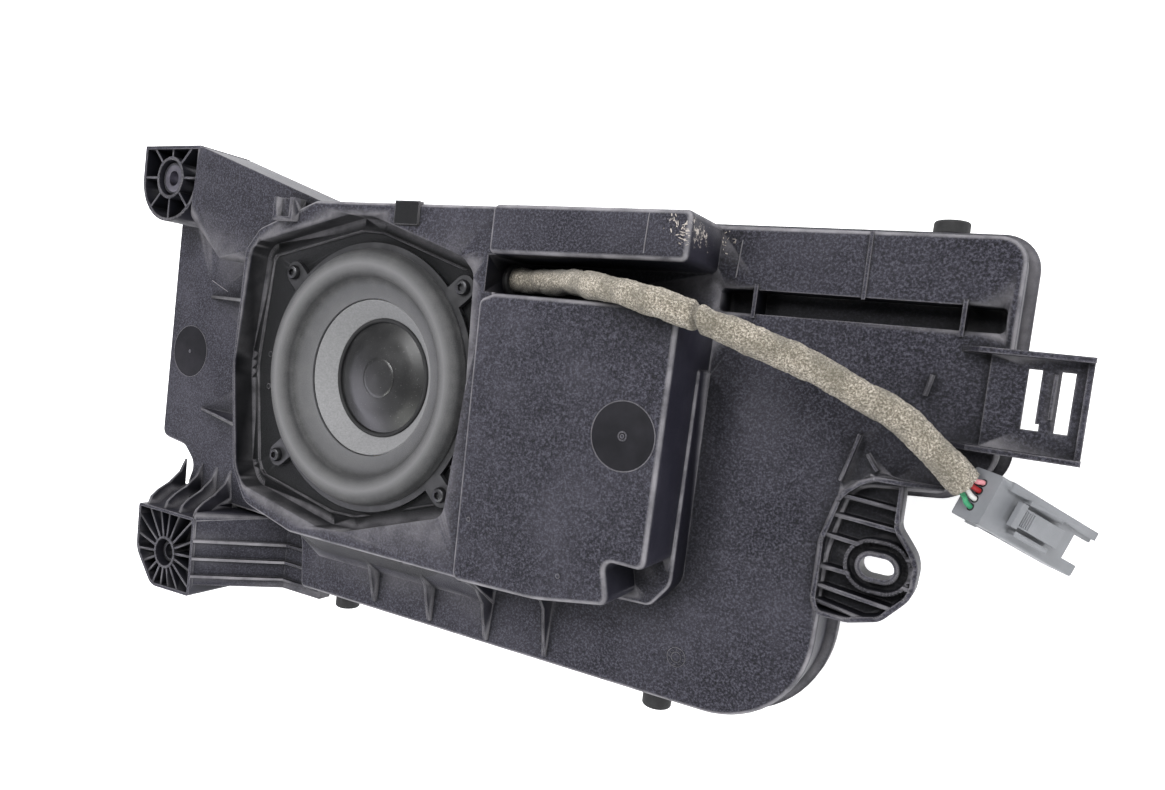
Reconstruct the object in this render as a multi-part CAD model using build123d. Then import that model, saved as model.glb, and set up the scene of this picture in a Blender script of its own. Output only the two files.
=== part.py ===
from build123d import *
import math
import os

# Boxed car woofer: a slim two-shell enclosure with one 130 mm woofer, moulded
# mounting bosses and a felt-wrapped harness.  Millimetres, +X along the long
# axis, +Z towards the listener, origin at the middle of the face it rests on.

os.makedirs("parts", exist_ok=True)

# Levels above the resting face
seam_z = 12.0
base_z = 37.0
step_z = 50.0
recess_z = 57.0
boss_z = 62.0
face_z = 68.0
block_z = 71.5
box_z = 77.0
channel_z = 24.0

# Shell walls
wall = 2.5
edge = 2.5
lip = 4.0
lip_depth = 3.0

# Woofer
woofer_x = -58.0
woofer_y = 14.5
foam_radius = 65.0
flange_radius = 68.2
cone_radius = 40.0
cap_radius = 30.0
travel = 5.0
ear_radius = 75.5
ear_angles = (41.0, 139.0, 221.0, 319.0)
former_radius = 17.5
magnet_radius = 38.0

# Harness
harness_diameter = 11.0
wire_diameter = 1.9
exit_y = 70.3
exit_z = 48.0
exit_wall_x = 14.0
exit_face_x = 16.5
exit_hole = 6.3

body_points = [
    (-251, 92), (-180, 97), (-97, 102), (230, 102), (230, 15), (212, 5), (182, 2),
    (176, -26), (174, -104.5), (-113, -113), (-117, -80), (-224, -78), (-217, -60),
    (-228, -50), (-251, -47),
]
body_radii = [4, 60, 60, 10, 12, 10, 10, 20, 44, 3, 10, 6, 8, 8, 6]
plateau_points = [
    (-148, 74), (-138, 86), (-97, 101.5), (22, 101.5), (22, -69.5), (-93, -72.5),
    (-130, -64), (-142, -46), (-150, 9),
]
plateau_radii = [6, 8, 6, 0, 0, 8, 12, 12, 40]
recess_points = [
    (-141, 77.5), (-72, 95), (-56, 94.5), (2, 78), (9.5, 71), (12, 20), (7, -43.5),
    (-55, -64), (-73, -65), (-132, -54), (-138, -44), (-147, 11),
]
recess_radii = [10, 8, 10, 8, 8, 60, 8, 14, 14, 12, 10, 60]
box_points = [
    (20, 59), (28, 62.2), (116, 63), (115, -41.5), (97, -41.5), (101, -59), (66, -65.5),
    (22, -67.5),
]
box_radii = [4, 4, 6, 4, 3, 4, 60, 4]
shelf_points = [(30, 40), (117, 40), (116.5, -52), (108, -63), (60, -66), (30, -66)]
shelf_radii = [2, 2, 10, 6, 20, 2]
block_points = [(18, 79.5), (114, 81), (114, 101.8), (18, 101.8)]
channel_points = [(117, 65.5), (226, 66.5), (226, 76), (117, 75.5)]
d_boss_centre = (-228.0, 113.5)
d_boss_half = 26.0
d_boss_top = 132.3
wing_points = [(-203, 132.3), (-97, 101.6), (-138, 80), (-150, 66), (-176, 68), (-206, 92)]
corner_boss_points = [(-230, -84.5), (-177, -83.5), (-176, -130), (-212, -132), (-229, -113)]
corner_boss_radii = [2, 2, 2, 10, 14]
corner_bore = (-202.0, -109.5)
bracket_points = [
    (184, 5.5), (193, 9.5), (201, 7.5), (201, -10), (210, -21.5), (209, -35), (199, -46.5),
    (187, -50), (174, -50), (172, -44), (172, -20), (177, -1),
]
bracket_radii = [8, 8, 2, 6, 14, 12, 8, 10, 5, 5, 14, 10]
bracket_low_z = 32.0
bracket_top_z = 42.0
slot_x = 195.0
slot_y = -26.5
slot_length = 12.5
slot_width = 8.0
tab_x = (213.0, 255.0)
tab_y = (23.5, 61.0)
tab_z = 37.0
buffer_places = [(200.0, 102.0, 1, 9.5), (100.5, -106.7, -1, 16.0), (-103.0, -112.7, -1, 15.5)]
buffer_z = 7.5
buffer_radius = 7.0
stud_radius = 4.0
buffer_wall = 3.0
low_screw_places = [
    (-238, 80), (-238, -34), (-100, -100), (0, -98), (90, -94), (160, -72), (218, 26), (218, 88),
]
block_screw_place = (60, 90)
recess_screw_place = (-25, 92)
shell_screw_places = low_screw_places + [block_screw_place, recess_screw_place]
screw_radius = 1.9
screw_head_radius = 3.6
screw_head_top = 4.0

# Harness route: grommet, along the channel, over the box corner, down to the plug
route = [
    (18.9, 70.3, 48), (38, 70.3, 51.5), (59, 70.5, 64), (82, 68.5, 79), (106, 64.2, 85),
    (126.5, 59.3, 83.2), (145, 53.8, 75.5), (162.5, 47.8, 67.8), (180, 41, 62),
    (197, 33, 57.5), (211, 22.5, 54), (221.5, 12, 49.5),
]

# Plug on the harness, built along its own +X and then laid in place
plug_start = (225.5, 8.5, 47.5)
plug_end = (256.7, -9.4, 10.5)
plug_length = 51.6
plug_width = 19.0
plug_height = 13.0
plug_roll = -16.0


def outline(points, radius):
    return make_face(FilletPolyline(*points, radius=radius, close=True))


def prism(points, radius, low, high, inset=0.0, soft_edge=0.0):
    face = outline(points, radius)
    if inset:
        face = offset(face, amount=-inset)
    solid = extrude(Pos(0, 0, low) * face, high - low)
    if soft_edge:
        solid = fillet(solid.edges().group_by(Axis.Z)[-1], soft_edge)
    return solid


def slab(x_low, x_high, y_low, y_high, z_low, z_high):
    size = (x_high - x_low, y_high - y_low, z_high - z_low)
    middle = ((x_low + x_high) / 2, (y_low + y_high) / 2, (z_low + z_high) / 2)
    return Pos(*middle) * Box(*size)


def rod(x, y, low, high, radius):
    return Pos(x, y, (low + high) / 2) * Cylinder(radius, high - low)


def tube(x, y, low, high, outer, inner):
    return rod(x, y, low, high, outer) - rod(x, y, low - 1, high + 1, inner)


def rib_between(start, end, low, high, thickness):
    """Upright rib whose foot runs from start to end."""
    run = math.dist(start, end)
    turn = math.degrees(math.atan2(end[1] - start[1], end[0] - start[0]))
    middle = ((start[0] + end[0]) / 2, (start[1] + end[1]) / 2, (low + high) / 2)
    return Pos(*middle) * Rot(0, 0, turn) * Box(run, thickness, high - low)


def side_plate(points, x, thickness):
    """Plate standing across X, drawn in (y, z)."""
    face = make_face(Polyline(*[(x, y, z) for y, z in points], close=True))
    return extrude(face, thickness, dir=(1, 0, 0))


def length_plate(points, y, thickness):
    """Plate standing across Y, drawn in (x, z)."""
    face = make_face(Polyline(*[(x, y, z) for x, z in points], close=True))
    return extrude(face, thickness, dir=(0, 1, 0))


def ear_place(angle, radius=ear_radius):
    return (
        woofer_x + radius * math.cos(math.radians(angle)),
        woofer_y + radius * math.sin(math.radians(angle)),
    )


def woofer_ring(profile):
    """Turned part about the woofer's axis, drawn as (radius, z)."""
    face = make_face(Polyline(*[(r, 0, z) for r, z in profile], close=True))
    return Pos(woofer_x, woofer_y, 0) * revolve(face, Axis.Z)


def d_shape(grow=0.0):
    x, y = d_boss_centre
    half = d_boss_half + grow
    top = d_boss_top + grow
    round_part = Pos(x, y) * Circle(half) - Pos(x, y + half) * Rectangle(3 * half, 2 * half)
    block_part = Pos(x, (y + top) / 2) * Rectangle(2 * half, top - y)
    return round_part + block_part


# ---------------------------------------------------------------- front shell

def spoked_cup(centre, face, low, top, rim, hub_outer, hub_inner, spokes, spoke_phase):
    """Open cup with a hub and radial ribs, floor at low."""
    outer = extrude(Pos(0, 0, low) * face, top - low)
    inner_face = offset(face, amount=-rim)
    pocket = extrude(Pos(0, 0, low + wall) * inner_face, top - low)
    cup = outer - pocket
    hub = rod(centre[0], centre[1], low, top, hub_outer)
    cup += hub
    reach = 80.0
    for index in range(spokes):
        angle = math.radians(spoke_phase + index * 360.0 / spokes)
        start = (centre[0] + hub_inner * math.cos(angle), centre[1] + hub_inner * math.sin(angle))
        end = (centre[0] + reach * math.cos(angle), centre[1] + reach * math.sin(angle))
        spoke = rib_between(start, end, low, top - 0.6, 1.4)
        cup += spoke & outer
    return cup


def upper_boss():
    x, y = d_boss_centre
    cup = spoked_cup((x, y), d_shape(), 48.0, boss_z, 2.0, 12.5, 11.5, 8, 0.0)
    skirt = extrude(Pos(0, 0, 28) * d_shape(), 20.0)
    skirt -= extrude(Pos(0, 0, 27) * d_shape(-wall), 21.0)
    cup -= rod(x, y, 50.5, boss_z + 1, 10.5)
    cup += rod(x, y, 44.0, 59.6, 9.5)
    cup -= rod(x, y, 40.0, 60.0, 8.0)
    return cup + skirt


def corner_boss():
    face = outline(corner_boss_points, corner_boss_radii)
    cup = spoked_cup(corner_bore, face, 51.0, boss_z, 1.8, 9.5, 8.0, 18, 6.0)
    cup -= rod(corner_bore[0], corner_bore[1], 54.0, boss_z + 1, 8.0)
    cup += rod(corner_bore[0], corner_bore[1], 51.0, 58.0, 6.5)
    skirt = extrude(Pos(0, 0, 14) * face, 37.0)
    skirt -= extrude(Pos(0, 0, 13) * offset(face, amount=-wall), 38.0)
    cup += skirt
    cup -= rod(corner_bore[0], corner_bore[1], 40.0, boss_z, 4.5)
    return cup


def corner_arm():
    """Ribbed wedge from the lower boss back to the body."""
    arm_low_y = -123.5
    arm_depth = 43.0
    wedge = length_plate(
        [(-178, 61.5), (-141, 24), (-112, 22), (-112, 14), (-178, 14)], arm_low_y, arm_depth
    )
    wedge -= length_plate(
        [(-175.5, 57), (-142, 22), (-114.5, 20), (-114.5, 13), (-175.5, 13)],
        arm_low_y + wall, arm_depth - 2 * wall,
    )
    rib_points = [(-178, 62), (-176, 62), (-139.5, 26), (-112, 24), (-112, 20), (-178, 20)]
    for y in (-97, -107.5, -118):
        wedge += length_plate(rib_points, y - 0.8, 1.6)
    return wedge


def swept_ribs():
    """Curved ribs that climb from the flange to the lower boss."""
    profile = [(-58, 37), (-66, 40.5), (-72, 47), (-76, 54), (-80, 58.5), (-84.8, 60), (-84.8, 36.5)]
    ribs = [side_plate(profile, x, 2.0) for x in (-225, -209, -195, -182)]
    web = side_plate([(-74, 36), (-78, 45), (-84.8, 54), (-84.8, 36)], -224.0, 46.0)
    result = web
    for rib in ribs:
        result += rib
    return result


def wing():
    """Arm from the upper boss to the plateau, open at the back."""
    face = outline(wing_points, [3, 0.5, 2, 2, 4, 6])
    outer = extrude(Pos(0, 0, 28) * face, boss_z - 28)
    skirt_low = make_face(Polyline((-206, 90), (-150, 70), (-150, 60), (-208, 74), close=True))
    foot = extrude(Pos(0, 0, base_z - 1) * skirt_low, 12, taper=25)
    return outer, offset(face, amount=-wall), foot


def bracket():
    """Ribbed bracket with a slotted hole."""
    face = outline(bracket_points, bracket_radii)
    plate = extrude(Pos(0, 0, bracket_low_z) * face, bracket_top_z - bracket_low_z)
    cell_face = offset(face, amount=-2.0)
    cells = extrude(Pos(0, 0, bracket_low_z + wall) * cell_face, 20)
    plate -= cells
    rows = [(-1.0, -4.0), (-9.0, -12.0), (-17.5, -21.5), (-30.5, -32.5), (-38.0, -42.0), (-44.0, -50.0)]
    for left_y, right_y in rows:
        bar = rib_between((170, left_y), (212, right_y), bracket_low_z + 1, bracket_top_z - 1, 1.6)
        plate += bar & extrude(Pos(0, 0, bracket_low_z) * face, bracket_top_z - bracket_low_z)
    collar = Pos(slot_x, slot_y) * SlotOverall(slot_length + 13, slot_width + 13)
    plate += extrude(Pos(0, 0, bracket_low_z) * collar, bracket_top_z - bracket_low_z - 1.5)
    dish = Pos(slot_x, slot_y) * SlotOverall(slot_length + 10, slot_width + 10)
    plate -= extrude(Pos(0, 0, bracket_low_z + 3.5) * dish, 20)
    sleeve = Pos(slot_x, slot_y) * SlotOverall(slot_length + 4, slot_width + 4)
    plate += extrude(Pos(0, 0, bracket_low_z) * sleeve, bracket_top_z - bracket_low_z - 0.5)
    hole = Pos(slot_x, slot_y) * SlotOverall(slot_length, slot_width)
    plate -= extrude(Pos(0, 0, bracket_low_z - 5) * hole, 40)
    return plate


def clip_tab():
    """Slotted tab with two side walls and a snap tongue."""
    x_low, x_high = tab_x
    y_low, y_high = tab_y
    plate = slab(x_low + 10, x_high, y_low, y_high, tab_z, tab_z + 2.5)
    plate += slab(x_high - 2, x_high, y_low, y_high, tab_z, tab_z + 4.5)
    fin_points = [
        (x_low, base_z), (x_high, tab_z), (x_high, tab_z + 8.5), (x_low + 6, base_z + 8),
        (x_low, base_z + 0.5),
    ]
    for y in (y_low, y_high - 2):
        plate += length_plate(fin_points, y, 2.0)
    plate -= slab(x_low + 22.5, x_low + 26.7, 33.5, 55.0, tab_z - 5, tab_z + 20)
    plate -= slab(x_low + 22.5, x_low + 28.0, 33.5, 36.0, tab_z - 5, tab_z + 20)
    plate -= slab(x_low + 32.8, x_low + 37.0, 33.5, 55.0, tab_z - 5, tab_z + 20)
    plate += slab(x_low + 30.4, x_low + 31.8, 38.0, 54.0, tab_z, tab_z + 4.5)
    return plate


def ledge_ribs():
    """Four swept ribs below the plateau."""
    profile = [(-71, 66), (-73, 60), (-78, 51), (-86, 45), (-98, 41.5), (-106, 39), (-106, 36), (-71, 36)]
    result = side_plate(profile, -56.0, 1.8)
    for x in (-18.0, 18.0):
        result += side_plate(profile, x, 1.8)
    low_profile = [(-68, 60), (-72, 50), (-80, 44), (-98, 40), (-104.5, 38.5), (-104.5, 36), (-68, 36)]
    return result + side_plate(low_profile, 52.0, 1.8)


def plateau_slope():
    """Sloped skirt that carries the plateau down to the ledge."""
    top_points = [(-92, -71), (21, -68), (21, -60), (-92, -60)]
    low_points = [(-100, -92), (21, -88), (21, -60), (-100, -60)]
    top_face = make_face(Polyline(*[(x, y, 64) for x, y in top_points], close=True))
    low_face = make_face(Polyline(*[(x, y, base_z) for x, y in low_points], close=True))
    return loft([low_face, top_face])


def recess_trim():
    """Screw pads, small ribs and clips in and around the woofer's recess."""
    trim = []
    for angle in ear_angles:
        x, y = ear_place(angle)
        trim.append(rod(x, y, recess_z - 9, recess_z, 4.5))
    trim.append(rib_between((10.5, 49), (18, 47), recess_z - 1, face_z - 3, 1.6))
    trim.append(rib_between((6, -20), (18, -18), recess_z - 1, face_z - 3, 1.6))
    return trim


def recess_bead():
    """Low step that follows the recess's wall, broken where the woofer's flange sits."""
    face = outline(recess_points, recess_radii)
    ring = offset(face, amount=-6.0) - offset(face, amount=-7.0)
    bead = extrude(Pos(0, 0, recess_z - 0.5) * ring, 2.0)
    bead -= rod(woofer_x, woofer_y, recess_z - 1, recess_z + 5, flange_radius + 2.0)
    for angle in ear_angles:
        x, y = ear_place(angle)
        bead -= rod(x, y, recess_z - 1, recess_z + 5, 9.0)
    return bead


def surface_ribs():
    """Small gussets on the flange, main face and channel."""
    ribs = []
    gusset = [(-146, base_z - 1), (-146, face_z - 4), (-213, base_z + 1), (-213, base_z - 1)]
    for y in (45, -25):
        ribs.append(length_plate(gusset, y, 1.8))
    ribs.append(rib_between((204.5, 49), (202.8, 41), base_z, base_z + 5, 1.4))
    ribs.append(rib_between((182, 23), (177, 4), base_z, base_z + 5, 1.4))
    ribs.append(rib_between((185.6, 16), (190, 10), base_z, base_z + 4, 1.4))
    for x in (131.5, 211.0):
        ribs.append(slab(x, x + 1.6, 64, 78, channel_z - 1, base_z + 1.2))
    ribs.append(slab(174.5, 176, 75, 101.5, base_z, base_z + 0.8))
    return ribs


def edge_clips():
    clip = slab(-123, -108, 90, 102, face_z - 4, face_z + 4)
    clip -= slab(-120, -111, 92, 103, face_z + 1, face_z + 5)
    clip += slab(-41, -26, 91, 102.3, face_z - 2, face_z + 1.2)
    return clip


def harness_guide():
    """Upstand beside the bracket that the harness leans on."""
    points = [
        (187, base_z - 0.5), (214, base_z - 0.5), (214, base_z + 1), (200, base_z + 7),
        (190, base_z + 7),
    ]
    return length_plate(points, 6.5, 1.8)


def screw_posts():
    """Posts inside the front shell that take the shell screws."""
    post_radius = 4.0
    reach = 0.5
    posts = [
        tube(x, y, seam_z, base_z - wall + reach, post_radius, screw_radius)
        for x, y in low_screw_places
    ]
    x, y = block_screw_place
    posts.append(tube(x, y, seam_z, block_z - wall + reach, post_radius, screw_radius))
    x, y = recess_screw_place
    posts.append(tube(x, y, seam_z, recess_z - wall + reach, post_radius, screw_radius))
    return posts


def front_shell():
    body = prism(body_points, body_radii, seam_z, base_z, soft_edge=edge)
    body_face = outline(body_points, body_radii)
    weld_lip = extrude(Pos(0, 0, seam_z) * offset(body_face, amount=lip), lip_depth)
    plateau = prism(plateau_points, plateau_radii, base_z - 5, face_z, soft_edge=edge)
    box = prism(box_points, box_radii, base_z - 5, box_z, soft_edge=3.0)
    shelf = prism(shelf_points, shelf_radii, base_z - 5, step_z, soft_edge=2.0)
    block = prism(block_points, 3, base_z - 5, block_z, soft_edge=3.0)
    wing_outer, wing_inner, wing_foot = wing()

    shell = body + weld_lip + plateau + box + shelf + block + wing_outer + wing_foot
    shell += plateau_slope()

    # hollow inside, one wall in from every outer face
    hollow = prism(body_points, body_radii, seam_z - 1, base_z - wall, inset=wall)
    hollow += prism(plateau_points, plateau_radii, seam_z, recess_z - wall, inset=wall)
    hollow += prism(box_points, box_radii, seam_z, box_z - wall, inset=wall)
    hollow += prism(block_points, 3, seam_z, block_z - wall, inset=wall)
    hollow -= prism(channel_points, 2, channel_z - wall, box_z, inset=-wall)
    hollow -= slab(exit_wall_x, 22.1, 60.5, 82.0, base_z - wall, face_z)
    body_inside = prism(body_points, body_radii, seam_z, boss_z, inset=wall)
    body_outside = prism(body_points, body_radii, seam_z, boss_z + 5)
    wing_hollow = extrude(Pos(0, 0, seam_z) * wing_inner, boss_z - wall - seam_z)
    wing_hollow_back = wing_hollow - body_outside
    shell -= hollow
    shell -= wing_hollow_back
    shell -= (wing_hollow & body_inside) - prism(plateau_points, plateau_radii, seam_z, face_z)

    # openings seen from the front
    shell -= prism(recess_points, recess_radii, recess_z, face_z + 5)
    shell -= rod(woofer_x, woofer_y, seam_z, recess_z + 1, foam_radius - 4)
    shell -= prism(channel_points, 2, channel_z, box_z)
    shell -= slab(exit_face_x, 30, 62.8, 79.5, base_z, face_z + 1)
    shell += slab(exit_wall_x, exit_face_x, 61.0, 79.5, base_z - wall, face_z)

    for feature in recess_trim() + surface_ribs() + screw_posts():
        shell += feature
    shell += recess_bead()
    shell += ledge_ribs() + edge_clips() + swept_ribs() + harness_guide()
    d_clear = extrude(Pos(0, 0, seam_z) * d_shape(-wall), 60)
    shell -= d_clear
    shell += upper_boss() + corner_boss() + corner_arm() + bracket() + clip_tab()

    # screw holes and the grommet's seat
    for angle in ear_angles:
        x, y = ear_place(angle)
        shell -= rod(x, y, recess_z - 8, recess_z + 1, 1.7)
    shell -= Pos(exit_wall_x, exit_y, exit_z) * Rot(0, 90, 0) * Cylinder(exit_hole, 8)
    return shell


# ----------------------------------------------------------------- rear shell

def side_rod(x, y, z, way, start, end, radius):
    """Round bar standing off a side wall, from start to end outwards."""
    middle = y + way * (start + end) / 2
    return Pos(x, middle, z) * Rot(90, 0, 0) * Cylinder(radius, end - start)


def buffer_stud(x, y, way, reach):
    return side_rod(x, y, buffer_z, way, -1.5, reach - buffer_wall, stud_radius)


def rear_shell():
    shell = prism(body_points, body_radii, 0.0, seam_z)
    shell = fillet(shell.edges().group_by(Axis.Z)[0], 4.0)
    body_face = outline(body_points, body_radii)
    shell += extrude(Pos(0, 0, seam_z - lip_depth) * offset(body_face, amount=lip), lip_depth)
    shell -= prism(body_points, body_radii, wall, seam_z + 1, inset=wall)
    for y in (-70, -30, 10, 50):
        shell += slab(-245, 160, y, y + 1.6, wall - 0.5, wall + 3)
    for place in buffer_places:
        shell += buffer_stud(*place)
    for x, y in shell_screw_places:
        shell += rod(x, y, wall - 0.5, seam_z, 5.5)
        shell -= rod(x, y, -1, screw_head_top, screw_head_radius + 0.2)
        shell -= rod(x, y, 0, seam_z + 1, screw_radius + 0.2)
    return shell


def shell_seal():
    """Flat cord of sealant in the joint, just inside the outer wall."""
    face = outline(body_points, body_radii)
    ring = offset(face, amount=-(wall + 0.1)) - offset(face, amount=-(wall + 1.6))
    return extrude(Pos(0, 0, seam_z - 2.0) * ring, 4.0)


def shell_screws():
    screws = []
    for x, y in shell_screw_places:
        head = rod(x, y, screw_head_top - 2.6, screw_head_top, screw_head_radius)
        head -= rod(x, y, 1.0, screw_head_top - 1.4, 1.5)
        screws.append(head + rod(x, y, screw_head_top, seam_z + 9, screw_radius - 0.05))
    return screws


def rubber_buffers():
    buffers = []
    for x, y, way, reach in buffer_places:
        pad = side_rod(x, y, buffer_z, way, lip + 0.3, reach, buffer_radius)
        pad = fillet(pad.edges().sort_by(Axis.Y)[-1 if way > 0 else 0], 1.2)
        buffers.append(pad - buffer_stud(x, y, way, reach))
    return buffers


def metal_sleeve(centre, low, high, inner):
    return tube(centre[0], centre[1], low, high, inner + 3.4, inner)


# --------------------------------------------------------------------- woofer

gasket = 1.2
flange_low = recess_z + gasket
flange_high = flange_low + 2.4
foam_z = flange_high + 0.6
cone_low_z = foam_z - 22.5
spider_z = 33.0
plate_top_z = 28.0
plate_low_z = 24.0
magnet_low_z = 13.0
yoke_low_z = 8.0


def flange_face(grow):
    face = Pos(woofer_x, woofer_y) * Circle(flange_radius + grow)
    for angle in ear_angles:
        x, y = ear_place(angle, ear_radius - 5)
        face += Pos(x, y) * Rot(0, 0, angle) * SlotOverall(22 + 2 * grow, 12 + 2 * grow)
    return face


def basket_gasket():
    face = flange_face(-0.6) - Pos(woofer_x, woofer_y) * Circle(foam_radius - 3.5)
    for angle in ear_angles:
        x, y = ear_place(angle)
        face -= Pos(x, y) * Circle(2.2)
    return extrude(Pos(0, 0, recess_z) * face, gasket)


def woofer_basket():
    face = flange_face(0) - Pos(woofer_x, woofer_y) * Circle(59.0)
    basket = extrude(Pos(0, 0, flange_low) * face, flange_high - flange_low)
    bowl = woofer_ring([
        (58.4, flange_low + 1), (60.4, flange_low + 1), (60.4, 45), (49, 31), (49, plate_top_z),
        (20, plate_top_z), (20, 29.6), (46.8, 29.6), (46.8, 32), (58.4, 46),
    ])
    for index in range(6):
        angle = index * 60.0
        window = Pos(woofer_x, woofer_y, 41) * Rot(0, 0, angle) * Pos(54, 0, 0) * Box(20, 30, 14)
        bowl -= window
    basket += bowl
    for angle in ear_angles:
        x, y = ear_place(angle)
        basket -= rod(x, y, flange_low - 1, flange_high + 1, 2.2)
    return basket


def surround():
    """Foam half roll with its flat inner band, closed solid."""
    outer_lip = [(foam_radius, flange_high), (foam_radius, foam_z + 0.6)]
    roll = []
    for index in range(11):
        angle = math.pi * index / 10
        roll.append((57.5 + 6.8 * math.cos(angle), foam_z + 0.9 + 5.4 * math.sin(angle)))
    inner = [(cone_radius + 0.3, foam_z - 4.2), (cone_radius + 0.3, foam_z - 5.4), (50, foam_z - 1.2)]
    under = []
    for index in range(1, 10):
        angle = math.pi * (1 - index / 10)
        under.append((57.5 + 5.8 * math.cos(angle), foam_z - 0.4 + 5.4 * math.sin(angle)))
    tail = [(63.2, flange_high)]
    return woofer_ring(outer_lip + roll + inner + under + tail)


def cone():
    neck = former_radius + 0.1
    return woofer_ring([
        (cone_radius, foam_z - 5.4), (cone_radius, foam_z - 6.4), (30.0, foam_z - 16.2),
        (neck, cone_low_z), (neck, cone_low_z + 1.0), (29.8, foam_z - 15.2),
        (39.4, foam_z - 4.9),
    ])


def dust_cap():
    apex = foam_z - 10.8
    cap_wall = 0.9
    points = [(0, apex), (11, apex - 0.4), (21, apex - 1.5), (cap_radius, apex - 3.5)]
    under = [(r, z - cap_wall) for r, z in reversed(points[:-1])]
    return woofer_ring(points + [(cap_radius - 0.8, apex - 4.2)] + under)


def voice_coil_former():
    return woofer_ring([
        (former_radius, cone_low_z + 3), (former_radius, 18.6), (former_radius - 0.5, 18.6),
        (former_radius - 0.5, cone_low_z + 3),
    ])


def voice_coil():
    return woofer_ring([
        (former_radius, 31.0), (former_radius + 0.9, 31.0), (former_radius + 0.9, 19.5),
        (former_radius, 19.5),
    ])


def spider():
    """Corrugated suspension from the former to the basket's shelf."""
    upper = []
    count = 24
    inner_r = former_radius + 0.6
    outer_r = 46.4
    for index in range(count + 1):
        part = index / count
        radius = inner_r + (outer_r - inner_r) * part
        upper.append((radius, spider_z + 1.1 * math.sin(part * 7 * 2 * math.pi)))
    lower = [(r, z - 0.7) for r, z in reversed(upper)]
    return woofer_ring(upper + lower)


strip_radius = 47.6
strip_thick = 2.6


def tinsel_leads():
    leads = []
    for side in (-1, 1):
        points = [
            (woofer_x + 24.5, woofer_y + side * 4, 41.2),
            (woofer_x + 31.0, woofer_y + side * 4, 40.2),
            (woofer_x + 39.0, woofer_y + side * 4, 38.5),
            (woofer_x + strip_radius, woofer_y + side * 4, 38.5),
        ]
        path = FilletPolyline(*points, radius=4)
        section = Plane(origin=path @ 0, z_dir=path % 0) * Circle(0.6)
        leads.append(sweep(section, path=path))
    return leads


def terminal_strip():
    x = woofer_x + strip_radius
    return slab(x, x + strip_thick, woofer_y - 9, woofer_y + 9, 34.0, 43.5)


def inner_leads():
    leads = []
    for side in (-1, 1):
        points = [
            (woofer_x + strip_radius + strip_thick, woofer_y + side * 6, 38.0),
            (woofer_x + 57, woofer_y + side * 6, 38.0),
            (woofer_x + 61 - side * 1.4, woofer_y + 20, 42.0),
            (woofer_x + 61 - side * 1.4, woofer_y + 45, 46.0),
            (exit_wall_x - 5.0, exit_y + side * 1.4, exit_z),
            (exit_wall_x - 1.5, exit_y + side * 1.4, exit_z),
        ]
        path = FilletPolyline(*points, radius=1.5)
        section = Plane(origin=path @ 0, z_dir=path % 0) * Circle(wire_diameter / 2)
        leads.append(sweep(section, path=path))
    return leads


def top_plate():
    return tube(woofer_x, woofer_y, plate_low_z, plate_top_z, magnet_radius - 3, former_radius + 1.5)


def ring_magnet():
    return tube(woofer_x, woofer_y, magnet_low_z, plate_low_z, magnet_radius, former_radius + 5)


def pole_yoke():
    yoke = rod(woofer_x, woofer_y, yoke_low_z, magnet_low_z, magnet_radius - 2)
    return yoke + rod(woofer_x, woofer_y, magnet_low_z, plate_top_z, former_radius - 1.3)


def woofer_screws():
    screws = []
    for angle in ear_angles:
        x, y = ear_place(angle)
        head = rod(x, y, flange_high, flange_high + 2.6, 3.8)
        head -= rod(x, y, flange_high + 1.2, flange_high + 3, 1.4)
        screws.append(head + rod(x, y, recess_z - 8, flange_high, 1.7))
    return screws


def damping_wadding():
    pad = slab(100, 172, -8, 58, wall + 3.2, 20)
    return fillet(pad.edges().filter_by(Axis.Z), 4.0)


# -------------------------------------------------------------------- harness

def cable_grommet():
    seat_low = exit_wall_x - 1.5
    seat_high = route[0][0]
    seat = Pos((seat_low + exit_face_x) / 2, exit_y, exit_z) * Rot(0, 90, 0) * Cylinder(
        exit_hole - 0.1, exit_face_x - seat_low
    )
    flange = Pos((exit_face_x + seat_high) / 2, exit_y, exit_z) * Rot(0, 90, 0) * Cylinder(
        7.3, seat_high - exit_face_x
    )
    return seat + fillet(flange.edges().sort_by(Axis.X)[-1], 0.8)


def cord_path(points):
    radii = []
    steps = [Vector(*b) - Vector(*a) for a, b in zip(points, points[1:])]
    for before, after in zip(steps, steps[1:]):
        turn = math.radians(before.get_angle(after))
        radii.append(0.45 * min(before.length, after.length) / math.tan(turn / 2))
    return FilletPolyline(*points, radius=radii), radii


def harness_sleeve():
    path, radii = cord_path(route)
    section = Plane(origin=path @ 0, z_dir=path % 0) * Circle(harness_diameter / 2)
    tube_solid = sweep(section, path=path)
    area = math.pi * harness_diameter ** 2 / 4
    print("harness arcs", [round(radius, 1) for radius in radii])
    print("harness length", round(path.length, 1))
    print("harness volume ratio", round(tube_solid.volume / area / path.length, 4))
    return tube_solid


plug_axis = (Vector(*plug_end) - Vector(*plug_start)).normalized()
plug_side = plug_axis.cross(Vector(0, 0, 1)).normalized()
plug_plane = Plane(origin=plug_start, x_dir=plug_axis, z_dir=plug_side.cross(plug_axis))
plug_frame = Plane(plug_plane.location * Location((0, 0, 0), (plug_roll, 0, 0)))


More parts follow.
